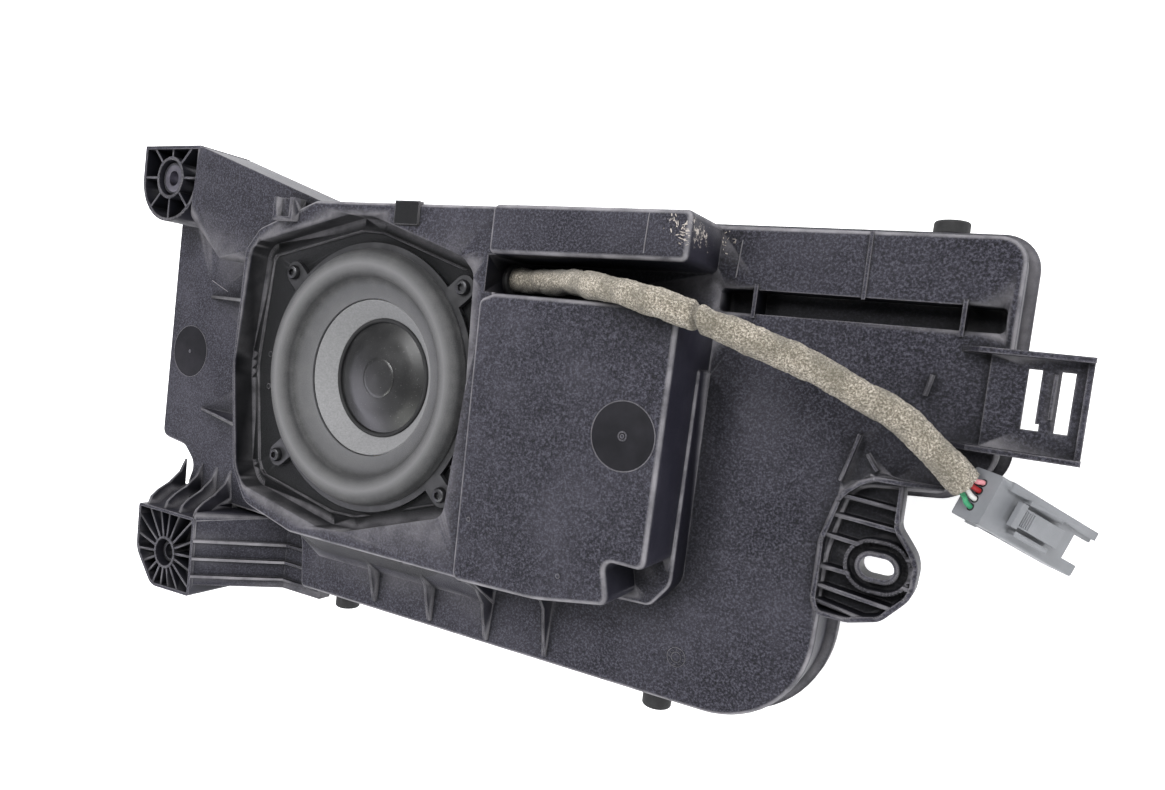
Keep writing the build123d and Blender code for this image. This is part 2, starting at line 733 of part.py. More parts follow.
def harness_wires():
    """Four wires between the sleeve's end and the plug."""
    end_direction = (Vector(*route[-1]) - Vector(*route[-2])).normalized()
    across = plug_frame.y_dir
    wires = []
    for place in (-1.5, -0.5, 0.5, 1.5):
        start = Vector(*route[-1]) + across * (place * 2.3)
        start -= end_direction * (start - Vector(*route[-1])).dot(end_direction)
        finish = plug_frame.from_local_coords(Vector(0, place * wire_pitch, 0))
        half = (finish - start).length / 2
        corner = (start + end_direction * half + finish - plug_axis * half) / 2
        path, radii = cord_path([tuple(start), tuple(corner), tuple(finish)])
        section = Plane(origin=path @ 0, z_dir=path % 0) * Circle(wire_diameter / 2)
        wires.append(sweep(section, path=path))
        print("wire arcs", [round(radius, 1) for radius in radii], "length", round(path.length, 1))
    return wires


# ------------------------------------------------- plug, in its own x, y and z

wire_pitch = 3.2
latch_low = plug_height / 2 + 2.0
latch_thick = 1.4
latch_pivot = (33.0, 0.0, latch_low + latch_thick / 2)
lock_low_x = 3.0
lock_high_x = 15.0


def connector_housing():
    half_w = plug_width / 2
    half_h = plug_height / 2
    body = slab(0, plug_length, -half_w, half_w, -half_h, half_h)
    body = fillet(body.edges().filter_by(Axis.X), 1.0)
    body -= slab(30, plug_length + 1, -half_w + 1.6, half_w - 1.6, -half_h + 1.6, half_h - 1.6)
    body -= slab(43, plug_length + 1, -half_w + 4.6, half_w - 4.6, half_h - 3, half_h + 1)
    body += slab(4, plug_length, half_w - 3.2, half_w, half_h - 1, half_h + 1.6)
    for side in (-1, 1):
        y = side * 6.0
        body += slab(13, 31, y - 0.9, y + 0.9, half_h - 0.5, half_h + 3.4)
    body += slab(31.5, 34.5, -1.5, 1.5, half_h - 0.5, latch_low - 0.2)
    for place in (-1.5, -0.5, 0.5, 1.5):
        y = place * wire_pitch
        body -= slab(1.5, 31, y - 1.15, y + 1.15, -1.15, 1.15)
        body -= Pos(0.75, y, 0) * Rot(0, 90, 0) * Cylinder(1.15, 3)
    body -= slab(lock_low_x - 0.3, lock_high_x + 2.6, -half_w - 1, -half_w + 2.4, -4.2, 2.2)
    body -= slab(20, 25, -half_w - 1, -half_w + 1.2, -1, 2.0)
    return body


def connector_latch():
    lever = slab(9, 34, -3.6, 3.6, latch_low, latch_low + latch_thick)
    lever += slab(9, 12, -4.6, 4.6, latch_low, latch_low + latch_thick + 0.8)
    lever += slab(26, 28.5, -3.6, 3.6, latch_low - 0.6, latch_low + 0.2)
    return lever


def connector_lock():
    low_y = -plug_width / 2
    lock = slab(lock_low_x, lock_high_x, low_y + 0.2, low_y + 2.2, -3.9, 1.9)
    lock += slab(lock_low_x + 1, lock_low_x + 3, low_y - 0.8, low_y + 0.3, -3.0, 1.0)
    return lock


def connector_terminals():
    contacts = []
    for place in (-1.5, -0.5, 0.5, 1.5):
        y = place * wire_pitch
        contact = slab(6, 29, y - 1.0, y + 1.0, -1.0, 1.0)
        contact -= slab(12, 30, y - 0.6, y + 0.6, -0.6, 0.6)
        contacts.append(contact)
    return contacts


def placed(shape):
    """Carry a plug part from its own axes to where the plug lies."""
    items = shape if isinstance(shape, list) else [shape]
    return [plug_frame.location * item for item in items]


def write(name, shape):
    items = shape if isinstance(shape, list) else [shape]
    solids = [solid for item in items for solid in item.solids()]
    result = solids[0] if len(solids) == 1 else Compound(children=solids)
    export_step(result, "parts/" + name + ".step")


nodes = {
    "front_shell": front_shell,
    "rear_shell": rear_shell,
    "shell_seal": shell_seal,
    "shell_screws": shell_screws,
    "rubber_buffers": rubber_buffers,
    "upper_boss_sleeve": lambda: metal_sleeve(d_boss_centre, 44.0, 59.6, 4.5),
    "woofer_basket": woofer_basket,
    "basket_gasket": basket_gasket,
    "woofer_screws": woofer_screws,
    "surround": surround,
    "cone": cone,
    "dust_cap": dust_cap,
    "voice_coil_former": voice_coil_former,
    "voice_coil": voice_coil,
    "spider": spider,
    "top_plate": top_plate,
    "ring_magnet": ring_magnet,
    "pole_yoke": pole_yoke,
    "terminal_strip": terminal_strip,
    "tinsel_leads": tinsel_leads,
    "inner_leads": inner_leads,
    "damping_wadding": damping_wadding,
    "cable_grommet": cable_grommet,
    "harness_sleeve": harness_sleeve,
    "harness_wires": harness_wires,
    "connector_housing": lambda: placed(connector_housing()),
    "connector_latch": lambda: placed(connector_latch()),
    "connector_lock": lambda: placed(connector_lock()),
    "connector_terminals": lambda: placed(connector_terminals()),
}

for node_name, make in nodes.items():
    write(node_name, make())
    print(node_name)

print("plug x", tuple(round(v, 4) for v in plug_frame.x_dir))
print("plug y", tuple(round(v, 4) for v in plug_frame.y_dir))
print("latch pivot", tuple(round(v, 2) for v in plug_frame.from_local_coords(Vector(*latch_pivot))))
print("plug mouth", tuple(round(v, 2) for v in plug_frame.from_local_coords(Vector(plug_length, 0, 0))))
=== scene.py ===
import math
import random
import bmesh
import bpy
from mathutils.bvhtree import BVHTree
from mathutils import Matrix, Vector


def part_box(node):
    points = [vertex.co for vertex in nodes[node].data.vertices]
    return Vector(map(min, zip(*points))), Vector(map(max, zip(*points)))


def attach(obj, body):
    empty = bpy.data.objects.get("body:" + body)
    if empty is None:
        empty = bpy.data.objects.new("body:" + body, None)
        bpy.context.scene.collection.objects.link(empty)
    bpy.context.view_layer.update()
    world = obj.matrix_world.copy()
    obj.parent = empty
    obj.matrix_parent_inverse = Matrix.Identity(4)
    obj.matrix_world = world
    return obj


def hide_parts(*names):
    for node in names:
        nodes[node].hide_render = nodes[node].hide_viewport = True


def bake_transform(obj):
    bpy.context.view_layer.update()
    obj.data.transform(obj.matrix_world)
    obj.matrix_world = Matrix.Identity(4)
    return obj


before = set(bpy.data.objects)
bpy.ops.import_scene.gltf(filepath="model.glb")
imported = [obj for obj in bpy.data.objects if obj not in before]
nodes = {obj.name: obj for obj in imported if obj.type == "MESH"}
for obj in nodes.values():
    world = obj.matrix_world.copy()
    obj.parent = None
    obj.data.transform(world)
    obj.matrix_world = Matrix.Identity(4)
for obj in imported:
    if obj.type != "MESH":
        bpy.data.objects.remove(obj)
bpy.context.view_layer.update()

scene = bpy.context.scene
print("frame loaded:", len(nodes), "nodes")


# camera at the maker's usual three-quarter look from above the plug end

cameraLook = {
    "place": (0.2403, 0.0448, 0.3695),
    "right": (0.8647, 0.1207, -0.4876),
    "up": (-0.1356, 0.9907, 0.0046),
    "back": (0.4836, 0.0621, 0.8731),
    "lens": 25.34,
    "sensor": 36.0,
}


def makeCamera(look):
    data = bpy.data.cameras.new("camera")
    data.lens = look["lens"]
    data.sensor_width = look["sensor"]
    data.sensor_fit = "HORIZONTAL"
    data.clip_start = 0.01
    data.clip_end = 20.0
    camera = bpy.data.objects.new("camera", data)
    turn = Matrix((look["right"], look["up"], look["back"])).transposed().to_4x4()
    camera.matrix_world = Matrix.Translation(look["place"]) @ turn
    scene.collection.objects.link(camera)
    scene.camera = camera


makeCamera(cameraLook)


# harness route and plug place, in metres

harness = {
    "route": [
        (18.9, 70.3, 48), (38, 70.3, 51.5), (59, 70.5, 64), (82, 68.5, 79), (106, 64.2, 85),
        (126.5, 59.3, 83.2), (145, 53.8, 75.5), (162.5, 47.8, 67.8), (180, 41, 62),
        (197, 33, 57.5), (211, 22.5, 54), (221.5, 12, 49.5),
    ],
    "diameter": 0.011,
    "length": 0.230,
    "rings": 420,
    "sides": 36,
    "lumpDepth": 0.0026,
    "fluffDepth": 0.0005,
    "lapDepth": 0.0020,
    "lapAt": (0.126, 0.0593, 0.0832),
    "lumpScale": 62.0,
    "fluffScale": 900.0,
}
plug = {
    "start": Vector((0.2255, 0.0085, 0.0475)),
    "end": Vector((0.2567, -0.0094, 0.0105)),
    "roll": math.radians(-16.0),
    "wirePitch": 0.0032,
    "wireSpread": 0.0023,
    "wireRadius": 0.00095,
    "wireEntry": 1.2,
}


def metres(points):
    return [Vector(point) / 1000 for point in points]


def plugAxes():
    along = (plug["end"] - plug["start"]).normalized()
    side = along.cross(Vector((0, 0, 1))).normalized()
    high = side.cross(along)
    across = high.cross(along)
    turn = Matrix.Rotation(plug["roll"], 3, along)
    return along, turn @ across, turn @ high


plugAlong, plugAcross, plugHigh = plugAxes()


def onPlug(x, y, z):
    # a point in the plug's own axes, in millimetres, set in the frame
    return plug["start"] + (plugAlong * x + plugAcross * y + plugHigh * z) / 1000


# small helpers for meshes

def finishMesh(name, builder, smoothAngle=35.0):
    mesh = bpy.data.meshes.new(name)
    builder.to_mesh(mesh)
    builder.free()
    piece = bpy.data.objects.new(name, mesh)
    scene.collection.objects.link(piece)
    shadeByAngle(piece, smoothAngle)
    return piece


def shadeByAngle(piece, angle):
    mesh = piece.data
    mesh.polygons.foreach_set("use_smooth", [True] * len(mesh.polygons))
    mesh.set_sharp_from_angle(angle=math.radians(angle))


def setMaterial(piece, *materials):
    piece.data.materials.clear()
    for material in materials:
        piece.data.materials.append(material)


def markRounds(builder, widest=0.0016):
    # narrow faces that lean are strips of a rounded edge, where a highlight is painted lighter,
    # broken by streaks of rubbing
    layer = builder.faces.layers.float.new("rounding")
    for face in builder.faces:
        face.normal_update()
        longest = max(edge.calc_length() for edge in face.edges)
        narrow = 2 * face.calc_area() < widest * longest
        face[layer] = 1.0 if narrow and 0.12 < abs(face.normal.z) < 0.97 else 0.0


def smoothCopy(node, material, body, angle=28.0):
    # the node's own shape, its loose faces joined so that rounds shade smoothly
    builder = bmesh.new()
    builder.from_mesh(nodes[node].data)
    bmesh.ops.remove_doubles(builder, verts=builder.verts, dist=1e-6)
    markRounds(builder)
    piece = finishMesh(node + "_skin", builder, angle)
    even = piece.modifiers.new("evenShading", "WEIGHTED_NORMAL")
    even.keep_sharp = True
    even.weight = 100
    setMaterial(piece, material)
    if node in bends:
        bendByRadius(piece, *bends[node])
    else:
        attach(piece, body)
    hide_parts(node)
    return piece


# radii where each flexing ring is still, and where it goes with the cone
bends = {
    "surround": (0.0625, 0.0505),
    "spider": (0.0325, 0.0170),
    "tinsel_leads": (0.0400, 0.0240),
}


def bendByRadius(piece, still, moving):
    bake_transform(piece)


def latheMesh(builder, profile, centre, turns=96):
    # closed ring of faces from (radius, z) points about a vertical axis
    rings = []
    for radius, height in profile:
        ring = []
        for index in range(turns):
            angle = 2 * math.pi * index / turns
            x = centre[0] + radius * math.cos(angle)
            y = centre[1] + radius * math.sin(angle)
            ring.append(builder.verts.new((x, y, height)))
        rings.append(ring)
    for low, high in zip(rings, rings[1:]):
        for index in range(turns):
            after = (index + 1) % turns
            builder.faces.new((low[index], low[after], high[after], high[index]))
    return rings


def capRing(builder, ring, centreZ, centre, upward):
    middle = builder.verts.new((centre[0], centre[1], centreZ))
    count = len(ring)
    for index in range(count):
        after = (index + 1) % count
        pair = (ring[index], ring[after]) if upward else (ring[after], ring[index])
        builder.faces.new((pair[0], pair[1], middle))


def joinRings(builder, first, second):
    count = len(first)
    for index in range(count):
        after = (index + 1) % count
        builder.faces.new((first[index], first[after], second[after], second[index]))


def outwards(builder):
    bmesh.ops.remove_doubles(builder, verts=builder.verts, dist=1e-7)
    bmesh.ops.recalc_face_normals(builder, faces=builder.faces)


def boxInto(builder, low, high):
    made = bmesh.ops.create_cube(builder, size=1.0)
    middle = (Vector(low) + Vector(high)) / 2
    size = Vector(high) - Vector(low)
    for vert in made["verts"]:
        vert.co = vert.co * size + middle


def evaluatedMesh(piece):
    # the mesh that a piece's curve or modifiers come to
    bpy.context.view_layer.update()
    graph = bpy.context.evaluated_depsgraph_get()
    return bpy.data.meshes.new_from_object(piece.evaluated_get(graph), depsgraph=graph)


# material helpers

def addNode(tree, kind, inputs=None, **settings):
    node = tree.nodes.new(kind)
    for key, value in settings.items():
        setattr(node, key, value)
    for key, value in (inputs or {}).items():
        node.inputs[key].default_value = value
    return node


def startMaterial(name, **shader):
    material = bpy.data.materials.new(name)
    material.use_nodes = True
    tree = material.node_tree
    surface = tree.nodes["Principled BSDF"]
    for key, value in shader.items():
        surface.inputs[key.replace("_", " ")].default_value = value
    place = addNode(tree, "ShaderNodeTexCoord")
    return material, tree, surface, place.outputs["Object"]


def noiseOn(tree, where, scale, detail=4.0, roughness=0.55):
    noise = addNode(
        tree, "ShaderNodeTexNoise", {"Scale": scale, "Detail": detail, "Roughness": roughness}
    )
    tree.links.new(where, noise.inputs["Vector"])
    return noise.outputs["Fac"]


def rampOn(tree, value, *stops):
    # stops are (position, colour or grey)
    ramp = addNode(tree, "ShaderNodeValToRGB")
    elements = ramp.color_ramp.elements
    while len(elements) < len(stops):
        elements.new(0.5)
    for element, (position, colour) in zip(elements, stops):
        element.position = position
        grey = isinstance(colour, (int, float))
        element.color = (colour, colour, colour, 1) if grey else (*colour, 1)
    tree.links.new(value, ramp.inputs["Fac"])
    return ramp.outputs["Color"]


def mixColours(tree, factor, first, second):
    mix = addNode(tree, "ShaderNodeMix", data_type="RGBA")
    for socket, value in ((0, factor), (6, first), (7, second)):
        if isinstance(value, bpy.types.NodeSocket):
            tree.links.new(value, mix.inputs[socket])
        elif socket == 0:
            mix.inputs[socket].default_value = value
        else:
            mix.inputs[socket].default_value = (*value, 1)
    return mix.outputs[2]


def calc(tree, operation, first, second=None, clamp=False):
    node = addNode(tree, "ShaderNodeMath", operation=operation, use_clamp=clamp)
    for index, value in enumerate((first, second)):
        if isinstance(value, bpy.types.NodeSocket):
            tree.links.new(value, node.inputs[index])
        elif value is not None:
            node.inputs[index].default_value = value
    return node.outputs[0]


def addBump(tree, surface, layers, roundEdges=0.0):
    # layers are (height, strength, distance); each sits on the one before
    normal = None
    if roundEdges:
        bevel = addNode(tree, "ShaderNodeBevel", {"Radius": roundEdges}, samples=4)
        normal = bevel.outputs["Normal"]
    for height, strength, distance in layers:
        bump = addNode(tree, "ShaderNodeBump", {"Strength": strength, "Distance": distance})
        tree.links.new(height, bump.inputs["Height"])
        if normal:
            tree.links.new(normal, bump.inputs["Normal"])
        normal = bump.outputs["Normal"]
    tree.links.new(normal, surface.inputs["Normal"])


def distanceFrom(tree, where, centre, stretch=(1, 1, 1)):
    mapping = addNode(tree, "ShaderNodeMapping", vector_type="POINT")
    mapping.inputs["Location"].default_value = [-c * s for c, s in zip(centre, stretch)]
    mapping.inputs["Scale"].default_value = stretch
    tree.links.new(where, mapping.inputs["Vector"])
    length = addNode(tree, "ShaderNodeVectorMath", operation="LENGTH")
    tree.links.new(mapping.outputs["Vector"], length.inputs[0])
    return length.outputs["Value"]


def upFacing(tree):
    # 1 on faces that look up, 0 on side walls
    geometry = addNode(tree, "ShaderNodeNewGeometry")
    split = addNode(tree, "ShaderNodeSeparateXYZ")
    tree.links.new(geometry.outputs["Normal"], split.inputs[0])
    return calc(tree, "MAXIMUM", split.outputs["Z"], 0.0)


woofer = {"centre": (-0.058, 0.0145), "foamRadius": 0.065}

shellPlastic = {
    "dark": (0.0026, 0.0024, 0.0040),
    "light": (0.069, 0.067, 0.086),
    "smooth": (0.0158, 0.0152, 0.0245),
    # light edge colour: painted highlight and rubbed wear
    "edgeHighlightAndWear": (0.30, 0.29, 0.31),
    # near-black: painted shade in corners and the recess; the clip's box is given it too
    "recess": (0.0012, 0.0015, 0.0022),
    "gloss": 0.25,
    "dust": (0.20, 0.195, 0.20),
    "scar": (0.50, 0.45, 0.41),
    "grain": 980.0,
    "patches": 24.0,
    "specks": 1500.0,
    "streaks": 95.0,
    "tears": 300.0,
    "ripple": 60.0,
    "cornerShade": 0.022,
    "edgeHighlightWidth": 0.0011,
    "recessFloor": 0.0570,
    "recessTop": 0.0674,
    "recessDrop": 0.012,
    "recessReach": 0.110,
    "scuffPlace": (0.1145, 0.0935, 0.064),
    "scuffReach": 0.016,
    "clipLow": (-0.0413, 0.0905, 0.0645),
    "clipHigh": (-0.0257, 0.1035, 0.072),
}


def between(tree, value, low, high):
    above = calc(tree, "GREATER_THAN", value, low)
    return calc(tree, "MULTIPLY", above, calc(tree, "LESS_THAN", value, high))


def boxMask(tree, place, low, high):
    split = addNode(tree, "ShaderNodeSeparateXYZ")
    tree.links.new(place, split.inputs[0])
    inside = 1.0
    for label, least, most in zip("XYZ", low, high):
        within = between(tree, split.outputs[label], least, most)
        inside = calc(tree, "MULTIPLY", within, inside)
    return inside


def recessMask(tree, place, look):
    # the recess's floor and the walls that face the woofer, where shade is painted
    split = addNode(tree, "ShaderNodeSeparateXYZ")
    tree.links.new(place, split.inputs[0])
    height = split.outputs["Z"]
    away = addNode(tree, "ShaderNodeVectorMath", operation="SUBTRACT")
    away.inputs[1].default_value = (woofer["centre"][0], woofer["centre"][1], look["recessFloor"])
    tree.links.new(place, away.inputs[0])
    facing = addNode(tree, "ShaderNodeVectorMath", operation="DOT_PRODUCT")
    geometry = addNode(tree, "ShaderNodeNewGeometry")
    tree.links.new(away.outputs[0], facing.inputs[0])
    tree.links.new(geometry.outputs["True Normal"], facing.inputs[1])
    inward = calc(tree, "LESS_THAN", facing.outputs["Value"], -0.01)
    lowest = look["recessFloor"] - look["recessDrop"]
    floor = between(tree, height, lowest, look["recessFloor"] + 0.0018)
    floor = calc(tree, "MULTIPLY", floor, upFacing(tree))
    wall = between(tree, height, lowest, look["recessTop"])
    wall = calc(tree, "MULTIPLY", wall, inward)
    near = distanceFrom(tree, place, (*woofer["centre"], 0.0), (1.0, 1.06, 0.0))
    near = calc(tree, "LESS_THAN", near, look["recessReach"])
    return calc(tree, "MULTIPLY", calc(tree, "MAXIMUM", floor, wall), near)


def roundHighlightMask(tree):
    # painted highlight on strips marked as rounded edges, strongest half-way round
    mark = addNode(tree, "ShaderNodeAttribute", attribute_name="rounding")
    geometry = addNode(tree, "ShaderNodeNewGeometry")
    split = addNode(tree, "ShaderNodeSeparateXYZ")
    tree.links.new(geometry.outputs["Normal"], split.inputs[0])
    shape = rampOn(tree, split.outputs["Z"], (0.30, 0.0), (0.62, 1.0), (0.84, 0.9), (0.99, 0.0))
    return calc(tree, "MULTIPLY", mark.outputs["Fac"], shape)


def sharpEdgeMask(tree, radius, gain):
    bevel = addNode(tree, "ShaderNodeBevel", {"Radius": radius}, samples=4)
    geometry = addNode(tree, "ShaderNodeNewGeometry")
    match = addNode(tree, "ShaderNodeVectorMath", operation="DOT_PRODUCT")
    tree.links.new(bevel.outputs[0], match.inputs[0])
    tree.links.new(geometry.outputs["True Normal"], match.inputs[1])
    turned = calc(tree, "SUBTRACT", 1.0, match.outputs["Value"], True)
    return calc(tree, "MULTIPLY", turned, gain, True)


def openness(tree, reach):
    # ambient occlusion, near 0 in corners and cells, 1 on open faces; used to paint shade into
    # colours
    shade = addNode(tree, "ShaderNodeAmbientOcclusion", {"Distance": reach}, samples=6)
    return calc(tree, "POWER", shade.outputs["AO"], 1.6)


def makeShellPlastic(name, look, front=True):
    material, tree, surface, place = startMaterial(name, Roughness=0.5)
    surface.inputs["Specular IOR Level"].default_value = look["gloss"]
    link = tree.links.new
    up = upFacing(tree)
    grain = noiseOn(tree, place, look["grain"], 6.0, 0.8)
    patches = noiseOn(tree, place, look["patches"], 6.0, 0.62)
    tones = (0.42, look["dark"]), (0.50, look["smooth"]), (0.60, look["light"])
    colour = mixColours(tree, up, look["smooth"], rampOn(tree, grain, *tones))
    worn = calc(tree, "MULTIPLY", rampOn(tree, patches, (0.42, 0.0), (0.66, 1.0)), 0.30)
    colour = mixColours(tree, worn, colour, look["light"])
    specks = noiseOn(tree, place, look["specks"], 2.0, 0.5)
    specks = rampOn(tree, specks, (0.68, 0.0), (0.75, 1.0))
    dusty = calc(tree, "MULTIPLY", specks, rampOn(tree, patches, (0.45, 0.0), (0.7, 0.6)))
    colour = mixColours(tree, calc(tree, "MULTIPLY", dusty, up), colour, look["dust"])
    # painted shade: corners, cells and crevices are mixed toward the near-black shade colour by
    # ambient occlusion
    openToLight = openness(tree, look["cornerShade"])
    colour = mixColours(tree, openToLight, look["recess"], colour)
    if front:
        # painted shade: the recess floor and its inner walls are darkened to near-black; the clip's
        # box takes the same colour
        clip = boxMask(tree, place, look["clipLow"], look["clipHigh"])
        recessShadeAndClip = calc(tree, "MAXIMUM", recessMask(tree, place, look), clip)
        recessShadeAndClip = calc(tree, "MULTIPLY", recessShadeAndClip, 0.95)
        colour = mixColours(tree, recessShadeAndClip, colour, look["recess"])
    # painted highlight along sharp and rounded edges, weaker in occluded corners and broken into
    # streaks of rubbed wear
    edges = calc(tree, "MULTIPLY", sharpEdgeMask(tree, look["edgeHighlightWidth"], 3.2), 0.75)
    edges = calc(tree, "MULTIPLY", edges, calc(tree, "MAXIMUM", openToLight, 0.15))
    edgeHighlightAndWear = calc(tree, "MAXIMUM", edges, calc(tree, "MULTIPLY", roundHighlightMask(tree), 0.75))
    streaks = noiseOn(tree, place, look["streaks"], 4.0)
    streaks = rampOn(tree, streaks, (0.30, 0.35), (0.62, 1.0))
    edgeHighlightAndWear = calc(tree, "MULTIPLY", edgeHighlightAndWear, streaks)
    colour = mixColours(tree, edgeHighlightAndWear, colour, look["edgeHighlightAndWear"])
    if front:
        reach = distanceFrom(tree, place, look["scuffPlace"], (1.0, 1.6, 0.8))
        fade = calc(tree, "SUBTRACT", 1.0, calc(tree, "DIVIDE", reach, look["scuffReach"]), True)
        torn = noiseOn(tree, place, look["tears"], 8.0, 0.8)
        torn = calc(tree, "ADD", torn, calc(tree, "MULTIPLY", fade, 0.2))
        torn = rampOn(tree, torn, (0.66, 0.0), (0.70, 1.0))
        torn = calc(tree, "MULTIPLY", torn, calc(tree, "GREATER_THAN", fade, 0.0))
        colour = mixColours(tree, torn, colour, look["scar"])
    link(colour, surface.inputs["Base Color"])
    rough = calc(tree, "ADD", 0.36, calc(tree, "MULTIPLY", up, 0.16))
    rough = calc(tree, "ADD", rough, calc(tree, "MULTIPLY", grain, 0.18), True)
    link(rough, surface.inputs["Roughness"])
    standing = calc(tree, "ADD", calc(tree, "MULTIPLY", up, 0.85), 0.15)
    pebble = calc(tree, "MULTIPLY", grain, standing)
    ripple = noiseOn(tree, place, look["ripple"], 3.0)
    addBump(tree, surface, [(ripple, 0.12, 0.002), (pebble, 0.8, 0.0006)], 0.0007)
    return material


def makeMouldedPlastic(name, dark, light, rough, grain=900.0, depth=0.0001, edge=0.0004, gloss=0.5):
    # plain moulded plastic with slight flow marks and grain
    material, tree, surface, place = startMaterial(name)
    surface.inputs["Specular IOR Level"].default_value = gloss
    patches = rampOn(tree, noiseOn(tree, place, 90.0, 5.0), (0.35, 0.0), (0.7, 1.0))
    tree.links.new(mixColours(tree, patches, dark, light), surface.inputs["Base Color"])
    speck = noiseOn(tree, place, grain, 3.0)
    roughness = calc(tree, "ADD", rough, calc(tree, "MULTIPLY", speck, 0.15), True)
    tree.links.new(roughness, surface.inputs["Roughness"])
    addBump(tree, surface, [(speck, 0.35, depth)], edge)
    return material


def makeMetal(name, dark, light, rough, grain, stretch=(1, 1, 1), metallic=1.0):
    material, tree, surface, place = startMaterial(name, Metallic=metallic)
    mapping = addNode(tree, "ShaderNodeMapping", {"Scale": stretch})
    tree.links.new(place, mapping.inputs["Vector"])
    brushed = noiseOn(tree, mapping.outputs["Vector"], grain, 5.0, 0.6)
    stain = rampOn(tree, noiseOn(tree, place, 140.0, 4.0), (0.4, 0.0), (0.7, 1.0))
    tree.links.new(mixColours(tree, stain, dark, light), surface.inputs["Base Color"])
    roughness = calc(tree, "ADD", rough, calc(tree, "MULTIPLY", brushed, 0.25), True)
    tree.links.new(roughness, surface.inputs["Roughness"])
    addBump(tree, surface, [(brushed, 0.3, 0.0001)], 0.0003)
    return material


def makeFoam():
    # grey foam roll with a coarser skin, and a flatter, lighter inner band; across the roll, light
    # and shade are painted by radius
    material, tree, surface, place = startMaterial("surroundFoam", Roughness=0.6)
    surface.inputs["Sheen Weight"].default_value = 0.08
    surface.inputs["Sheen Roughness"].default_value = 0.5
    reach = distanceFrom(tree, place, (*woofer["centre"], 0.0), (1, 1, 0))
    radius = calc(tree, "DIVIDE", reach, woofer["foamRadius"])
    # painted light and shade by radius: dark creases at the cone's edge and in the groove, a lit
    # crest and a darker outer rim on the roll
    base = rampOn(
        tree, radius,
        (0.605, (0.006, 0.006, 0.007)), (0.622, (0.080, 0.080, 0.085)),
        (0.72, (0.046, 0.046, 0.050)), (0.765, (0.005, 0.005, 0.006)),
        (0.80, (0.028, 0.028, 0.030)), (0.875, (0.112, 0.111, 0.115)),
        (0.93, (0.036, 0.036, 0.038)), (1.0, (0.006, 0.006, 0.007)),
    )
    cells = noiseOn(tree, place, 1900.0, 4.0, 0.7)
    cloud = noiseOn(tree, place, 130.0, 5.0)
    shade = rampOn(tree, cells, (0.35, 0.0), (0.7, 1.0))
    colour = mixColours(tree, calc(tree, "MULTIPLY", shade, 0.22), base, (0.15, 0.15, 0.155))
    worn = calc(tree, "MULTIPLY", rampOn(tree, cloud, (0.42, 0.0), (0.7, 1.0)), 0.16)
    colour = mixColours(tree, worn, colour, (0.13, 0.128, 0.126))
    tree.links.new(colour, surface.inputs["Base Color"])
    addBump(tree, surface, [(cloud, 0.25, 0.0012), (cells, 0.6, 0.0004)])
    return material


def makeCone():
    material, tree, surface, place = startMaterial("conePaper", Roughness=0.62)
    fibres = noiseOn(tree, place, 900.0, 6.0, 0.7)
    cloud = noiseOn(tree, place, 55.0, 4.0)
    matted = rampOn(tree, fibres, (0.35, 0.0), (0.68, 1.0))
    colour = mixColours(tree, matted, (0.18, 0.18, 0.185), (0.27, 0.27, 0.275))
    colour = mixColours(tree, calc(tree, "MULTIPLY", cloud, 0.3), colour, (0.17, 0.17, 0.182))
    tree.links.new(colour, surface.inputs["Base Color"])
    addBump(tree, surface, [(fibres, 0.4, 0.0003), (cloud, 0.15, 0.001)])
    return material


def makeDustCap():
    material, tree, surface, place = startMaterial("capGloss")
    haze = noiseOn(tree, place, 60.0, 5.0)
    roughness = calc(tree, "ADD", 0.24, calc(tree, "MULTIPLY", haze, 0.14))
    tree.links.new(roughness, surface.inputs["Roughness"])
    dust = rampOn(tree, noiseOn(tree, place, 1300.0, 2.0), (0.66, 0.0), (0.76, 0.8))
    cloudy = rampOn(tree, haze, (0.4, 0.0), (0.68, 1.0))
    colour = mixColours(tree, cloudy, (0.007, 0.007, 0.0075), (0.017, 0.017, 0.0175))
    colour = mixColours(tree, dust, colour, (0.12, 0.12, 0.12))
    tree.links.new(colour, surface.inputs["Base Color"])
    addBump(tree, surface, [(haze, 0.08, 0.0015)])
    return material


def makeFelt():
    # khaki felt tape: short matted fibres, lighter and darker ones mixed
    material, tree, surface, place = startMaterial("harnessFelt", Roughness=0.95)
    surface.inputs["Sheen Weight"].default_value = 0.15
    surface.inputs["Sheen Roughness"].default_value = 0.6
    fibres = noiseOn(tree, place, 1250.0, 6.0, 0.8)
    clumps = noiseOn(tree, place, 380.0, 4.0, 0.6)
    tone = rampOn(
        tree, fibres, (0.38, (0.045, 0.037, 0.026)), (0.47, (0.170, 0.146, 0.110)),
        (0.53, (0.38, 0.34, 0.275)), (0.62, (0.78, 0.72, 0.63)),
    )
    tone = mixColours(tree, calc(tree, "MULTIPLY", clumps, 0.3), tone, (0.22, 0.19, 0.15))
    dirt = rampOn(tree, noiseOn(tree, place, 75.0, 4.0), (0.42, 0.0), (0.64, 0.62))
    tone = mixColours(tree, dirt, tone, (0.100, 0.090, 0.064))
    # painted shade: ambient occlusion darkens the felt in its folds and against nearby parts
    shaded = openness(tree, 0.008)
    tone = mixColours(tree, shaded, (0.035, 0.03, 0.022), tone)
    tree.links.new(tone, surface.inputs["Base Color"])
    addBump(tree, surface, [(clumps, 0.6, 0.0009), (fibres, 1.0, 0.0007)])
    return material


